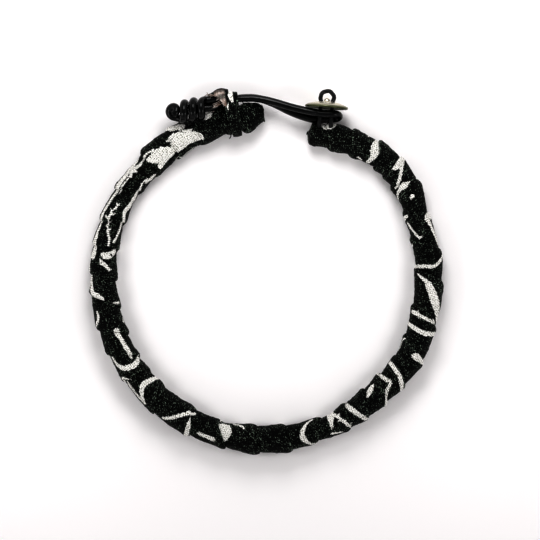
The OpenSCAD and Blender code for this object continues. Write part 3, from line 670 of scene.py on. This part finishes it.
def cord_skin(line, sides, radius, bevel=0.0, first=(0, 0, 1)):
    """Points and faces of a cord with closed ends. Its rings turn as little as its bends allow."""
    way = np.gradient(line, axis=0)
    way /= np.linalg.norm(way, axis=1, keepdims=True)
    across, v = np.empty_like(way), np.array(first, float)
    for i, d in enumerate(way):
        v = v - d * (v @ d)
        v /= np.linalg.norm(v)
        across[i] = v
    t = 2 * np.pi * np.arange(sides) / sides
    radius = np.array(np.broadcast_to(radius, (len(line), sides)), float)
    radius[[0, -1]] -= bevel
    ways = across[:, None] * np.cos(t)[:, None] + np.cross(way, across)[:, None] * np.sin(t)[:, None]
    rings = (line[:, None] + ways * radius[..., None]).reshape(-1, 3)
    n = len(rings)
    faces = sheet_faces(len(line), sides, closed=True)[:, ::-1].tolist()
    faces += [[n, (k + 1) % sides, k] for k in range(sides)]
    faces += [[n + 1, n - sides + k, n - sides + (k + 1) % sides] for k in range(sides)]
    return np.vstack([rings, line[:1], line[-1:]]), faces


def joined(skins):
    """Several skins' points and faces as one."""
    points, faces, first = [], [], 0
    for skin_points, skin_faces in skins:
        points.append(skin_points)
        faces += [[first + k for k in face] for face in skin_faces]
        first += len(skin_points)
    return np.vstack(points), faces


def dyed_leather():
    """Drum-dyed black leather cord, lightly waxed: smooth enough for broad soft highlights, which
    fine pebbled grain and creases along the cord break up."""
    leather = new_material("black_leather")
    place = add_node(leather, "Attribute", attribute_name="cord_mm").outputs["Vector"]
    grain = add_node(leather, "TexVoronoi", {"Vector": place, "Scale": PEBBLES_PER_MM}).outputs["Distance"]
    drawn = add_node(leather, "Mapping", {"Vector": place, "Scale": CREASES_PER_MM}).outputs[0]
    crease = add_node(leather, "TexNoise", {"Vector": drawn, "Scale": 1.0, "Detail": 4.0}).outputs["Fac"]
    blotch = add_node(leather, "TexNoise", {"Vector": place, "Scale": DYE_BLOTCHES_PER_MM,
                                            "Detail": 2.0}).outputs["Fac"]
    height = add_node(leather, "Math", {0: grain, 1: 0.35, 2: crease}, operation="MULTIPLY_ADD").outputs[0]
    bump = add_node(leather, "Bump", {"Height": height, "Strength": 0.5, "Distance": 0.06 * MM})
    dye = add_node(leather, "MapRange", {"Value": blotch, "From Min": 0.35, "From Max": 0.7},
                   interpolation_type="SMOOTHSTEP").outputs[0]
    colour = add_node(leather, "Mix", {0: dye, 6: linear("#020303"), 7: linear("#080a0a")}, data_type="RGBA")
    rough = add_node(leather, "MapRange", {"Value": crease, "From Min": 0.3, "From Max": 0.75, "To Min": 0.1,
                                           "To Max": 0.2}, interpolation_type="SMOOTHSTEP")
    shader = add_node(leather, "BsdfPrincipled", {
        "Base Color": colour.outputs[2], "Normal": bump.outputs[0], "Roughness": rough.outputs[0],
        "Specular IOR Level": 0.3})
    add_node(leather, "OutputMaterial", {"Surface": shader.outputs["BSDF"]})
    return leather


def leather_loop():
    """The whole cord, a little uneven as cut leather is, and filled out where its turns are pressed."""
    line = smooth_line(leather_route(), LEATHER_STEP)
    run = run_along(line)[:, None]
    around = (np.arange(LEATHER_SIDES) / LEATHER_SIDES * math.pi * LEATHER_D)[None, :]
    uneven = LEATHER_UNEVEN * rumple(run / 2.3 + 0 * around, 0 * run + around / 1.1, 31)
    first, last = PRESSED_RUN
    swell = PRESSED_SWELL * np.clip((run - first) / 3, 0, 1) * np.clip((last - run) / 3, 0, 1)
    points, faces = cord_skin(line, LEATHER_SIDES, LEATHER_D / 2 * (0.99 + uneven + swell), LEATHER_TRIM)
    places = np.stack([run + 0 * around, 0 * run + around, 0 * run * around], -1).reshape(-1, 3)
    return mesh_piece("leather_loop", points, faces, dyed_leather(),
                      {"cord_mm": np.vstack([places, [[0, 0, 0.5], [run[-1, 0], 0, 0.5]]])})


leather = leather_loop()
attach(leather, "root")
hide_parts("leather_cord")


# The strap of the end wrap: a last narrow turn of the same cotton, its long edges folded under, pulled
# round the tube and the leather's two legs to hold them together. White print shows on its outer half.
BAND_ANGLE = 348.6
BAND_HALF_WIDTH = 1.22
BAND_CLEAR = 0.2
BAND_THICK = 0.45
BAND_LIP = 0.2
BAND_RING = 110
BAND_TOP = 12
BAND_MM_PER_DEGREE = 0.54
# Columns: place across the strap, distance from the tube's middle where its white print begins
STRAP_TEETH = np.array([
    [-0.9, 9], [-0.8, 1.8], [-0.55, 1.9], [-0.25, 3.4], [-0.08, 4.9], [0.02, 4.9], [0.12, 3.4], [0.35, 3.1],
    [0.6, 3.4], [0.78, 4.2], [0.82, 9],
])


def strap_circles(angle):
    """Circles that the strap is pulled round, seen along the tube: outward, up, radius."""
    a = np.array([angle])
    half_width, half_height, lift = values_at(SECTIONS, angle, 2, 3, 4)
    middle = np.append(tube_middle(a)[0], half_height + lift - REST_FLAT)
    out = np.append(tube_outward(a)[0], 0)
    x = (middle + 4 * out)[0]
    y, z, half, tilt = values_at(LEG_ROWS, x, 1, 2, 3, 4)
    between_legs = np.array([x, y, z]) - middle
    level, up = half * math.cos(math.radians(tilt)), half * math.sin(math.radians(tilt))
    legs = [(between_legs @ out + s * level, between_legs[2] + s * up, LEATHER_D / 2 + BAND_CLEAR)
            for s in (1, -1)]
    tube = (0, 0, half_width + LAP_PROFILE[1][1] * LAP_STEP + BAND_CLEAR)
    return np.array([tube, *legs]), middle, out


def strap_ring(angle, extra):
    """One ring of the strap, its points an even way apart: in the ring's frame, and outward and up."""
    circles, middle, out = strap_circles(angle)
    t = np.radians(np.arange(0, 361, 3))
    ways = np.stack([np.cos(t), np.sin(t)], -1)
    best = (ways @ circles[:, :2].T + circles[:, 2]).argmax(1)
    ring = even_line(circles[best, :2] + ways * (circles[best, 2:] + extra), BAND_RING + 1)[:-1]
    return middle + ring[:, :1] * out + ring[:, 1:] * np.array([0, 0, 1]), ring


def folded_profile(half, thick, lip, columns):
    """Across a narrow strip: place and height, from one edge folded under it to the other."""
    edge = [(-half + lip * (1 + math.cos(t)), lip + lip * math.sin(t)) for t in ROUND_LIP]
    top = [(x, thick) for x in np.linspace(-half + lip, half - lip, columns)[1:-1]]
    return [(-0.4 * half, 0.02), *edge, *top, *[(-x, h) for x, h in edge[::-1]], (0.4 * half, 0.02)]


def end_strap():
    """The strap as rings pulled round the tube and the legs, one for each point of its profile."""
    rings, weave, ink, lip = [], [], [], []
    profile = folded_profile(BAND_HALF_WIDTH, BAND_THICK, BAND_LIP, BAND_TOP)
    for across, height in profile:
        points, ring = strap_ring(BAND_ANGLE + across / BAND_MM_PER_DEGREE, height)
        run = run_along(points)
        pucker = 0.09 * rumple(run / 1.6, 0 * run + across / 1.2, 5)
        pucker += 0.05 * rumple(run / 0.6, 0 * run + across, 6)
        away = points - points.mean(0)
        points += away / np.linalg.norm(away, axis=1, keepdims=True) * pucker[:, None] * (height > 0.1)
        points[:, 2] = np.maximum(points[:, 2], FLOOR_CLEAR)
        rings.append(points)
        weave.append(np.stack([run, 0 * run + across, 0 * run + 40], -1))
        bare = np.interp(across, STRAP_TEETH[:, 0], STRAP_TEETH[:, 1])
        ink.append(np.where(ring[:, 1] > -1.2, (ring[:, 0] - bare) * 0.6, -1))
        lip.append(np.full(len(run), float(abs(across) > BAND_HALF_WIDTH - 0.25)))
    faces = sheet_faces(len(profile), BAND_RING, closed=True)
    ring = np.arange(BAND_RING)
    after, last = (ring + 1) % BAND_RING, (len(profile) - 1) * BAND_RING
    seam = np.stack([last + ring, last + after, after, ring], -1)
    return mesh_piece("end_strap", np.vstack(rings), np.vstack([faces, seam])[:, ::-1], printed_cotton,
                      {"ink": np.clip(np.concatenate(ink), -1, 1), "weave_mm": np.vstack(weave),
                       "lip": np.concatenate(lip)})


strap = end_strap()
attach(strap, "root")
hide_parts("end_wrap")


# The frayed mouth: the raw cut end of the same strip, which opens round the leather's legs behind the
# strap. Its rim is turned back, so that the unprinted buff side shows, and threads stand out of it.
# Its lower lip runs on as a flap under the legs.
# Columns: row, x, radius inside, angle of its edge over the leather, angle of its edge under the leather
MOUTH_ROWS = np.array([
    [0, -7.0, 1.68, 150, -90], [1, -7.9, 2.05, 128, -94], [2, -8.9, 2.12, 86, -102],
    [3, -9.8, 1.8, 56, -118], [4, -10.6, 1.62, 38, -160],
])
RIM_ROW = MOUTH_ROWS[-1, 0]
MOUTH_STEPS = 36
MOUTH_SIDES = 60
MOUTH_THICK = 0.35
FRAY_SEED = 52
FRAY_THREADS = 70
FRAY_R = 0.055
# A long thread that hangs from under the strap, and four that leave the mouth together over the knot
STRAP_THREAD = np.array([[-6.75, 28.2, 2.2], [-6.85, 27.6, 1.7], [-6.8, 27.1, 1.3], [-7.1, 26.6, 1.1]])
STRAP_THREAD_R = 0.1
LOOSE_THREAD = np.array([[0, 0, 6.35], [-0.7, -0.35, 6.2], [-1.5, -0.8, 5.85], [-2.1, -1.0, 5.6]])
LOOSE_THREAD_R = 0.085
LOOSE_STARTS = [(-8.3, 34.2), (-8.5, 33.8), (-8.2, 33.5), (-8.9, 33.3)]
FLAP_ROWS = 26
FLAP_COLUMNS = 22
FLAP_X = (-6.9, -11.85)
FLAP_ANGLES = (347.4, 337.2)
FLAP_SIDE = 116
FLAP_CLEAR = 0.2
FLAP_THICK = 0.3


def leg_place(x):
    """The middle between the leather's legs."""
    return np.array([x, *values_at(LEG_ROWS, x, 1, 2)])


def shell_faces(rows, columns):
    """Faces of a thick sheet whose rows run along one side and back along the other, its ends closed."""
    n, k = 2 * columns, np.arange(columns - 1)
    rim = np.stack([k, k + 1, n - 2 - k, n - 1 - k], -1)
    return np.vstack([sheet_faces(rows, n, closed=True), rim[:, ::-1], rim + (rows - 1) * n])


def mouth_section(row):
    """The mouth's inner and outer points at one place along the legs, from over them to under them."""
    x, radius, over, under = values_at(MOUTH_ROWS, row, 1, 2, 3, 4)
    rim = row / RIM_ROW
    over += 7 * rim * rumple(np.array([row * 3.3]), np.array([1.5]), 14)[0]
    t = np.radians(np.linspace(over, under, MOUTH_SIDES))
    ragged = 0.3 * rim ** 3 * rumple(t * 3.1, 0 * t + 2, 15) + 0.2 * rim ** 6 * rumple(t * 9, 0 * t, 16)
    d = leg_place(x + 0.2) - leg_place(x - 0.2)
    out = np.array([-d[1], d[0], 0]) / math.hypot(d[0], d[1])
    folds = 0.12 * rumple(t * 1.7, 0 * t + row * 0.8, 17) + 0.07 * rumple(t * 5, 0 * t + row * 1.6, 13)
    r = radius + 0.08 + (0.4 + 0.6 * rim) * folds
    ways = np.cos(t)[:, None] * out + np.sin(t)[:, None] * np.array([0, 0, 1])
    centre = leg_place(x) + np.stack([ragged, 0 * t, 0 * t], -1)
    outer_r = r + MOUTH_THICK * (1 - 0.5 * rim)
    return centre + ways * r[:, None], centre + ways * outer_r[:, None], np.degrees(t)


def frayed_mouth():
    """The mouth, with the buff back showing inside it and where its rim is turned back."""
    rows, raw, weave = [], [], []
    for row in np.linspace(0, RIM_ROW, MOUTH_STEPS):
        inner, outer, t = mouth_section(row)
        rows.append(np.vstack([inner, outer[::-1]]))
        turned_back = np.clip((row - 0.7) / 0.4, 0, 1) * np.clip((t - 24) / 14, 0, 1)
        dashes = rumple(t / 10, 0 * t + row * 2.2, 18)
        bare = 1 - np.clip(dashes * 4 - 0.6, 0, 1) * (row > 2.8)
        # Painted shade of the folds: the buff darkens towards the black face in random patches
        folded = np.clip(0.75 + 1.1 * rumple(t / 13, 0 * t + row * 0.7, 29), 0.25, 1)
        raw.append(np.concatenate([bare * folded, (turned_back * bare * folded)[::-1]]))
        places = np.stack([(t[0] - t) * MOUTH_ROWS[2, 2] * math.pi / 180, 0 * t + row, 0 * t + 60], -1)
        weave.append(np.vstack([places, places[::-1]]))
    points = np.vstack(rows)
    return mesh_piece("frayed_mouth", points, shell_faces(MOUTH_STEPS, MOUTH_SIDES)[:, ::-1], printed_cotton,
                      {"ink": np.full(len(points), -1.0), "weave_mm": np.vstack(weave),
                       "raw": np.concatenate(raw)})


def mouth_flap():
    """The mouth's lower lip, which runs on under the leather's legs and lies down on the tube. It has
    one white mark near its end."""
    over, under, weave, ink = [], [], [], []
    v = np.linspace(0, 1, FLAP_COLUMNS)[:, None]
    for u in np.linspace(0, 1, FLAP_ROWS):
        x, angle = np.interp(u, (0, 1), FLAP_X), np.array([np.interp(u, (0, 1), FLAP_ANGLES)])
        half, tilt = values_at(LEG_ROWS, x, 3, 4)
        drop = half * math.sin(math.radians(tilt)) + LEATHER_D / 2 + FLAP_CLEAR
        start = leg_place(x) + np.array([0, 0.8, -drop])
        end = tube_places(angle, np.array([FLAP_SIDE]), np.array([0.2]))[0]
        loose = np.sin(math.pi * v[:, 0])
        ragged = 0.6 * u ** 4 * rumple(v[:, 0] * 6, 0 * v[:, 0] + 1, 24) * loose
        wrinkle = 0.16 * rumple(0 * v[:, 0] + u * 7, v[:, 0] * 4, 25) * loose
        sheet = start * (1 - v) + end * v + np.stack([ragged, 0 * ragged, wrinkle], -1)
        over.append(sheet)
        under.append(sheet - np.array([0, 0, FLAP_THICK]))
        places = np.stack([v[:, 0] * 4, 0 * v[:, 0] + u * 6, 0 * v[:, 0] + 80], -1)
        weave.append(np.vstack([places, places[::-1]]))
        mark = 0.3 - np.hypot((u - 0.86) * 2.2, (v[:, 0] - 0.62) * 1.9)
        ink.append(np.concatenate([mark, mark[::-1]]))
    points = np.vstack([np.vstack([a, b[::-1]]) for a, b in zip(over, under)])
    return mesh_piece("mouth_flap", points, shell_faces(FLAP_ROWS, FLAP_COLUMNS), printed_cotton,
                      {"ink": np.concatenate(ink), "weave_mm": np.vstack(weave)})


def frayed_threads():
    """Bare threads that stand out of the mouth's rim, and a long one under the strap."""
    random = np.random.RandomState(FRAY_SEED)
    lines = [(STRAP_THREAD, STRAP_THREAD_R, 0.0)]
    lines += [(LOOSE_THREAD + np.array([x, y, 0]), LOOSE_THREAD_R, 1.0) for x, y in LOOSE_STARTS]
    for _ in range(FRAY_THREADS):
        if random.rand() < 0.6:
            row, k = RIM_ROW, random.randint(MOUTH_SIDES)
        else:
            row, k = random.uniform(1.2, RIM_ROW), 0
        inner, outer, _ = mouth_section(row)
        start = (inner[k] + outer[k]) / 2
        middle = leg_place(start[0])
        away = (start - middle) / np.linalg.norm(start - middle)
        reach = random.uniform(0.2, 0.6)
        way = np.array([-0.75, 0, 0]) + random.uniform(-0.7, 0.7, 3) + away * (0.1 if row == RIM_ROW else 0.5)
        bend = random.uniform(-0.35, 0.35, 3)
        line = np.array([start + way * reach * s + bend * reach * s * s for s in (-0.2, 0.15, 0.6, 1)])
        lines.append((line, FRAY_R, random.choice([1.0, 1.0, 0.55, 0.0])))
    skins = [cord_skin(smooth_line(line, 0.16), 5, r) for line, r, _ in lines]
    counts = [len(points) for points, _ in skins]
    raw = np.repeat([shade for _, _, shade in lines], counts)
    points, faces = joined(skins)
    return mesh_piece("frayed_threads", points, faces, printed_cotton,
                      {"raw": raw, "ink": np.full(len(points), -1.0), "weave_mm": points * 1.0})


for frayed in (frayed_mouth(), mouth_flap(), frayed_threads()):
    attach(frayed, "root")


# The button: a pressed metal disc, nickel plated and satin finished, with a beaded rim and a low dome.
# It stands on its rim with the dome away from the wrist. Between its two holes is a small boss.
BUTTON_CENTRE = np.array([12.2, 32.5, 4.4])
BUTTON_TURN = math.radians(-4.6)
BUTTON_D = 8.6
BUTTON_DOME = 1.4
BUTTON_RIM = 0.5
BUTTON_BEAD = 0.27
BUTTON_HOLLOW = 0.3
BUTTON_EDGE = 0.05
BUTTON_SIDES = 96
HOLE_GAP = 2.3
HOLE_D = 1.1
HOLE_SIDES = 32
BOSS_R = 0.6
BOSS_TOP = 2.05
# Columns: distance out from the boss, height over the dome, where it runs into the dome
BOSS_FOOT = [(0, 0.14), (0.05, 0.03), (0.15, -0.03)]
# Patterns in the plate: polishing rings for each millimetre out and each radian round, blotches of tarnish
# for each millimetre
RINGS_PER_MM = (18.0, 0.6, 1.0)
TARNISH_PER_MM = 0.55


def turned(x, y, angle):
    """A level place turned about the up axis."""
    c, s = math.cos(angle), math.sin(angle)
    return c * x - s * y, s * x + c * y


def by_button(points):
    """Points given across the button, out of its domed face and up, in the ring's frame."""
    x, y, z = np.asarray(points, float).T
    return np.stack([*turned(x, y, BUTTON_TURN), z], -1) + BUTTON_CENTRE


def button_profile():
    """Half section from the middle of the dome, over the rim, to the middle of the underside, as radius
    and height."""
    half, rise = BUTTON_D / 2, BUTTON_DOME - BUTTON_RIM
    dome_r = (half * half + rise * rise) / (2 * rise)
    boss = [(BOSS_R * math.sin(t), BOSS_TOP - BOSS_R + BOSS_R * math.cos(t))
            for t in np.radians(np.arange(0, 91, 11.25))]
    foot = [(BOSS_R + out, BUTTON_DOME + over) for out, over in BOSS_FOOT]
    dome = [(r, BUTTON_DOME - dome_r + math.sqrt(dome_r ** 2 - r * r))
            for r in np.linspace(0.95, half - 0.5, 18)]
    bead = [(half - BUTTON_BEAD + BUTTON_BEAD * math.cos(t), BUTTON_BEAD + BUTTON_BEAD * math.sin(t))
            for t in np.radians(np.arange(100, -91, -10))]
    hollow = [(r, BUTTON_HOLLOW - 0.28 * (r / half) ** 6) for r in np.linspace(half - 0.5, 0.3, 12)]
    return boss + foot + dome + bead + hollow + [(0, BUTTON_HOLLOW)]


def satin_nickel():
    """Nickel plate with a satin finish: a warm pale grey with fine rings from polishing and a little tarnish in
    blotches. The rim and the underside are a dark olive: painted shade and painted dark reflection, its edge
    broken by the tarnish blotches."""
    nickel = new_material("nickel_plate")
    place = add_node(nickel, "Attribute", attribute_name="disc_mm").outputs["Vector"]
    rings = add_node(nickel, "Mapping", {"Vector": place, "Scale": RINGS_PER_MM}).outputs[0]
    polish = add_node(nickel, "TexNoise", {"Vector": rings, "Scale": 1.0, "Detail": 3.0}).outputs["Fac"]
    tarnish = add_node(nickel, "TexNoise", {"Vector": place, "Scale": TARNISH_PER_MM,
                                            "Detail": 4.0}).outputs["Fac"]
    height = add_node(nickel, "SeparateXYZ", {0: place}).outputs["Z"]
    bump = add_node(nickel, "Bump", {"Height": polish, "Strength": 0.25, "Distance": 0.01 * MM})
    dull = add_node(nickel, "MapRange", {"Value": tarnish, "From Min": 0.35, "From Max": 0.75},
                    interpolation_type="SMOOTHSTEP").outputs[0]
    plate = add_node(nickel, "Mix", {0: dull, 6: linear("#eee9da"), 7: linear("#c4beab")}, data_type="RGBA")
    # Painted shade and painted dark reflection: the low rim and the underside turn dark olive
    height_with_tarnish = add_node(nickel, "Math", {0: tarnish, 1: 0.3, 2: height}, operation="MULTIPLY_ADD").outputs[0]
    plate_share = add_node(nickel, "MapRange", {"Value": height_with_tarnish, "From Min": 0.3, "From Max": 1.25},
                      interpolation_type="SMOOTHSTEP").outputs[0]
    colour = add_node(nickel, "Mix", {0: plate_share, 6: linear("#595d44"), 7: plate.outputs[2]}, data_type="RGBA")
    rough = add_node(nickel, "MapRange", {"Value": polish, "From Min": 0.3, "From Max": 0.7, "To Min": 0.24,
                                          "To Max": 0.36}, interpolation_type="SMOOTHSTEP")
    shader = add_node(nickel, "BsdfPrincipled", {
        "Base Color": colour.outputs[2], "Normal": bump.outputs[0], "Metallic": 1.0,
        "Roughness": rough.outputs[0]})
    add_node(nickel, "OutputMaterial", {"Surface": shader.outputs["BSDF"]})
    return nickel


def with_modifiers(piece):
    """The piece's mesh with its modifiers applied."""
    bpy.context.view_layer.update()
    done = bpy.data.meshes.new_from_object(piece.evaluated_get(bpy.context.evaluated_depsgraph_get()))
    piece.modifiers.clear()
    piece.data = done
    return piece


def button_disc():
    """The pressed disc, turned from its half section, with its two holes drilled and their edges eased."""
    profile = np.array(button_profile())
    t = np.radians(np.arange(BUTTON_SIDES) * 360 / BUTTON_SIDES)
    rings = profile[1:-1]
    radius, height = rings[:, :1] + 0 * t, rings[:, 1:] + 0 * t
    points = np.stack([radius * np.cos(t), height, -radius * np.sin(t)], -1).reshape(-1, 3)
    points = np.vstack([points, [[0, profile[0][1], 0], [0, profile[-1][1], 0]]])
    faces = sheet_faces(len(rings), BUTTON_SIDES, closed=True)[:, ::-1].tolist()
    n, last = len(points) - 2, len(points) - 2 - BUTTON_SIDES
    faces += [[n, k, (k + 1) % BUTTON_SIDES] for k in range(BUTTON_SIDES)]
    faces += [[n + 1, last + (k + 1) % BUTTON_SIDES, last + k] for k in range(BUTTON_SIDES)]
    disc = mesh_piece("button_disc", by_button(points), faces, satin_nickel())
    drills = [cord_skin(by_button([(side * HOLE_GAP / 2, y, 0) for y in (-1, 1, 3)]), HOLE_SIDES, HOLE_D / 2)
              for side in (-1, 1)]
    cutter = mesh_piece("hole_cutter", *joined(drills), disc.data.materials[0])
    holes = disc.modifiers.new("holes", "BOOLEAN")
    holes.operation = "DIFFERENCE"
    holes.solver = "EXACT"
    holes.object = cutter
    edges = disc.modifiers.new("edges", "BEVEL")
    edges.width = BUTTON_EDGE * MM
    edges.segments = 2
    edges.limit_method = "ANGLE"
    edges.angle_limit = math.radians(50)
    with_modifiers(disc)
    bpy.data.objects.remove(cutter)
    disc.data.set_sharp_from_angle(angle=math.radians(45))
    x, y, z = (np.array([v.co for v in disc.data.vertices]) / MM - BUTTON_CENTRE).T
    x, y = turned(x, y, -BUTTON_TURN)
    places = np.stack([np.hypot(x, z), np.arctan2(z, x), y], -1)
    disc.data.attributes.new("disc_mm", "FLOAT_VECTOR", "POINT").data.foreach_set("vector", places.ravel())
    return disc


disc = button_disc()
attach(disc, "root")
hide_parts("button")


# The button's cord: thin black cotton cord of three twisted plies, waxed. It passes up one hole and down
# the other over the boss, and both its ends go on under the button into the gathered end of the strip.
WAXED_D = 0.88
WAXED_SIDES = 18
WAXED_PLIES = 3
TWIST_PITCH = 1.5
ARCH_R = 1.33
ARCH_HEIGHT = 2.1
# Columns: distance below the button, drop towards the floor. The last one lies inside the cloth.
NECK_ROWS = [(1.2, 0), (2.3, 0.02), (2.8, 0.04), (3.15, 0.1), (3.7, 0.4), (4.4, 1.2)]


def waxed_cotton():
    """Waxed cotton cord: black, its fibres a little lighter and rougher in places."""
    wax = new_material("waxed_cord")
    place = add_node(wax, "Attribute", attribute_name="cord_mm").outputs["Vector"]
    fibre = add_node(wax, "TexNoise", {"Vector": place, "Scale": FIBRES_PER_MM, "Detail": 3.0}).outputs["Fac"]
    bump = add_node(wax, "Bump", {"Height": fibre, "Strength": 0.6, "Distance": 0.04 * MM})
    colour = add_node(wax, "Mix", {0: fibre, 6: linear("#020303"), 7: linear("#101312")}, data_type="RGBA")
    rough = add_node(wax, "MapRange", {"Value": fibre, "From Min": 0.3, "From Max": 0.7, "To Min": 0.32,
                                       "To Max": 0.5}, interpolation_type="SMOOTHSTEP")
    shader = add_node(wax, "BsdfPrincipled", {
        "Base Color": colour.outputs[2], "Normal": bump.outputs[0], "Roughness": rough.outputs[0],
        "Specular IOR Level": 0.35})
    add_node(wax, "OutputMaterial", {"Surface": shader.outputs["BSDF"]})
    return wax


def waxed_cord():
    """The whole cord, its plies twisted round its middle line."""
    x = HOLE_GAP / 2
    dip = math.acos(x / ARCH_R)
    arch = [(ARCH_R * math.cos(t), ARCH_HEIGHT + ARCH_R * math.sin(t), 0)
            for t in np.linspace(math.pi + dip, -dip, 15)]
    left = [(-x, -below, -drop) for below, drop in NECK_ROWS[::-1]] + [(-x, 0, 0), (-x, BUTTON_DOME / 2, 0)]
    line = smooth_line(by_button(left + arch + [(-p[0], p[1], p[2]) for p in left[::-1]]), 0.1)
    run = run_along(line)[:, None]
    t = 2 * np.pi * np.arange(WAXED_SIDES) / WAXED_SIDES
    twist = np.cos(WAXED_PLIES * (t - 2 * np.pi * run / TWIST_PITCH / WAXED_PLIES))
    points, faces = cord_skin(line, WAXED_SIDES, WAXED_D / 2 * (0.93 + 0.09 * twist))
    places = np.stack([run + 0 * t, 0 * run + t * WAXED_D / 2, twist * 0], -1).reshape(-1, 3)
    return mesh_piece("waxed_cord", points, faces, waxed_cotton(),
                      {"cord_mm": np.vstack([places, [[0, 0, 0], [0, 0, 0]]])})


neck = waxed_cord()
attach(neck, "root")
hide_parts("button_cord")


# The floor: a sheet of white paper that the ring lies on, matt and very slightly warm.
FLOOR_HALF = 1500


def white_paper():
    """Uncoated white paper: matt, with no grain that shows at this size."""
    paper = new_material("white_paper")
    shader = add_node(paper, "BsdfPrincipled", {"Base Color": linear("#fffdfd"), "Roughness": 0.9})
    add_node(paper, "OutputMaterial", {"Surface": shader.outputs["BSDF"]})
    return paper


corners = [(x * FLOOR_HALF, y * FLOOR_HALF, 0) for x, y in ((-1, -1), (1, -1), (1, 1), (-1, 1))]
floor = mesh_piece("floor", corners, [(0, 1, 2, 3)], white_paper())


# The light: three soft lamps high up, the strongest past the clasp, so that the shadows are short and
# fall away from it, in a pale room whose walls are brighter than its ceiling.
# Columns: name, place, width of its square, power in watts
LAMPS = [
    ("right_panel", (0.085, -0.025, 0.085), 0.04, 0.028),
    ("left_panel", (-0.085, -0.025, 0.085), 0.04, 0.03),
    ("window", (0, 0.09, 0.09), 0.055, 0.07),
]
WALL_LIGHT = 0.95
CEILING_LIGHT = 0.3
# Heights of a direction where the wall ends and where the ceiling is at its own brightness
WALL_TOP = 0.25
CEILING_EDGE = 0.85
EXPOSURE = 0.14
GAMMA = 0.65

for name, place, width, power in LAMPS:
    panel = bpy.data.lights.new(name, "AREA")
    panel.size = width
    panel.energy = power
    lamp = bpy.data.objects.new(name, panel)
    lamp.visible_camera = False
    lamp.location = place
    lamp.rotation_euler = (-Vector(place)).to_track_quat("-Z", "Y").to_euler()
    bpy.context.scene.collection.objects.link(lamp)

world = bpy.data.worlds.new("soft_room")
world.use_nodes = True
world.node_tree.nodes.clear()
way = add_node(world, "TexCoord").outputs["Generated"]
height = add_node(world, "SeparateXYZ", {0: way}).outputs["Z"]
fall = add_node(world, "MapRange", {"Value": height, "From Min": WALL_TOP, "From Max": CEILING_EDGE,
                                    "To Min": WALL_LIGHT, "To Max": CEILING_LIGHT}).outputs[0]
room = add_node(world, "Background", {"Color": (1, 0.985, 0.99, 1), "Strength": fall})
add_node(world, "OutputWorld", {"Surface": room.outputs[0]})
bpy.context.scene.world = world
bpy.context.scene.view_settings.view_transform = "Standard"
bpy.context.scene.view_settings.exposure = EXPOSURE
bpy.context.scene.view_settings.gamma = GAMMA


# The camera: a long lens straight over the ring. Its width of view and its centre are millimetres, and
# its height is metres.
VIEW_WIDTH = 108
VIEW_CENTRE = (1.0, 0.4)
CAMERA_HEIGHT = 0.6
SENSOR = 36
lens = bpy.data.cameras.new("camera")
lens.sensor_width = SENSOR
lens.lens = SENSOR * CAMERA_HEIGHT / (VIEW_WIDTH * MM)
camera = bpy.data.objects.new("camera", lens)
camera.location = (VIEW_CENTRE[0] * MM, VIEW_CENTRE[1] * MM, CAMERA_HEIGHT)
bpy.context.scene.collection.objects.link(camera)
bpy.context.scene.camera = camera
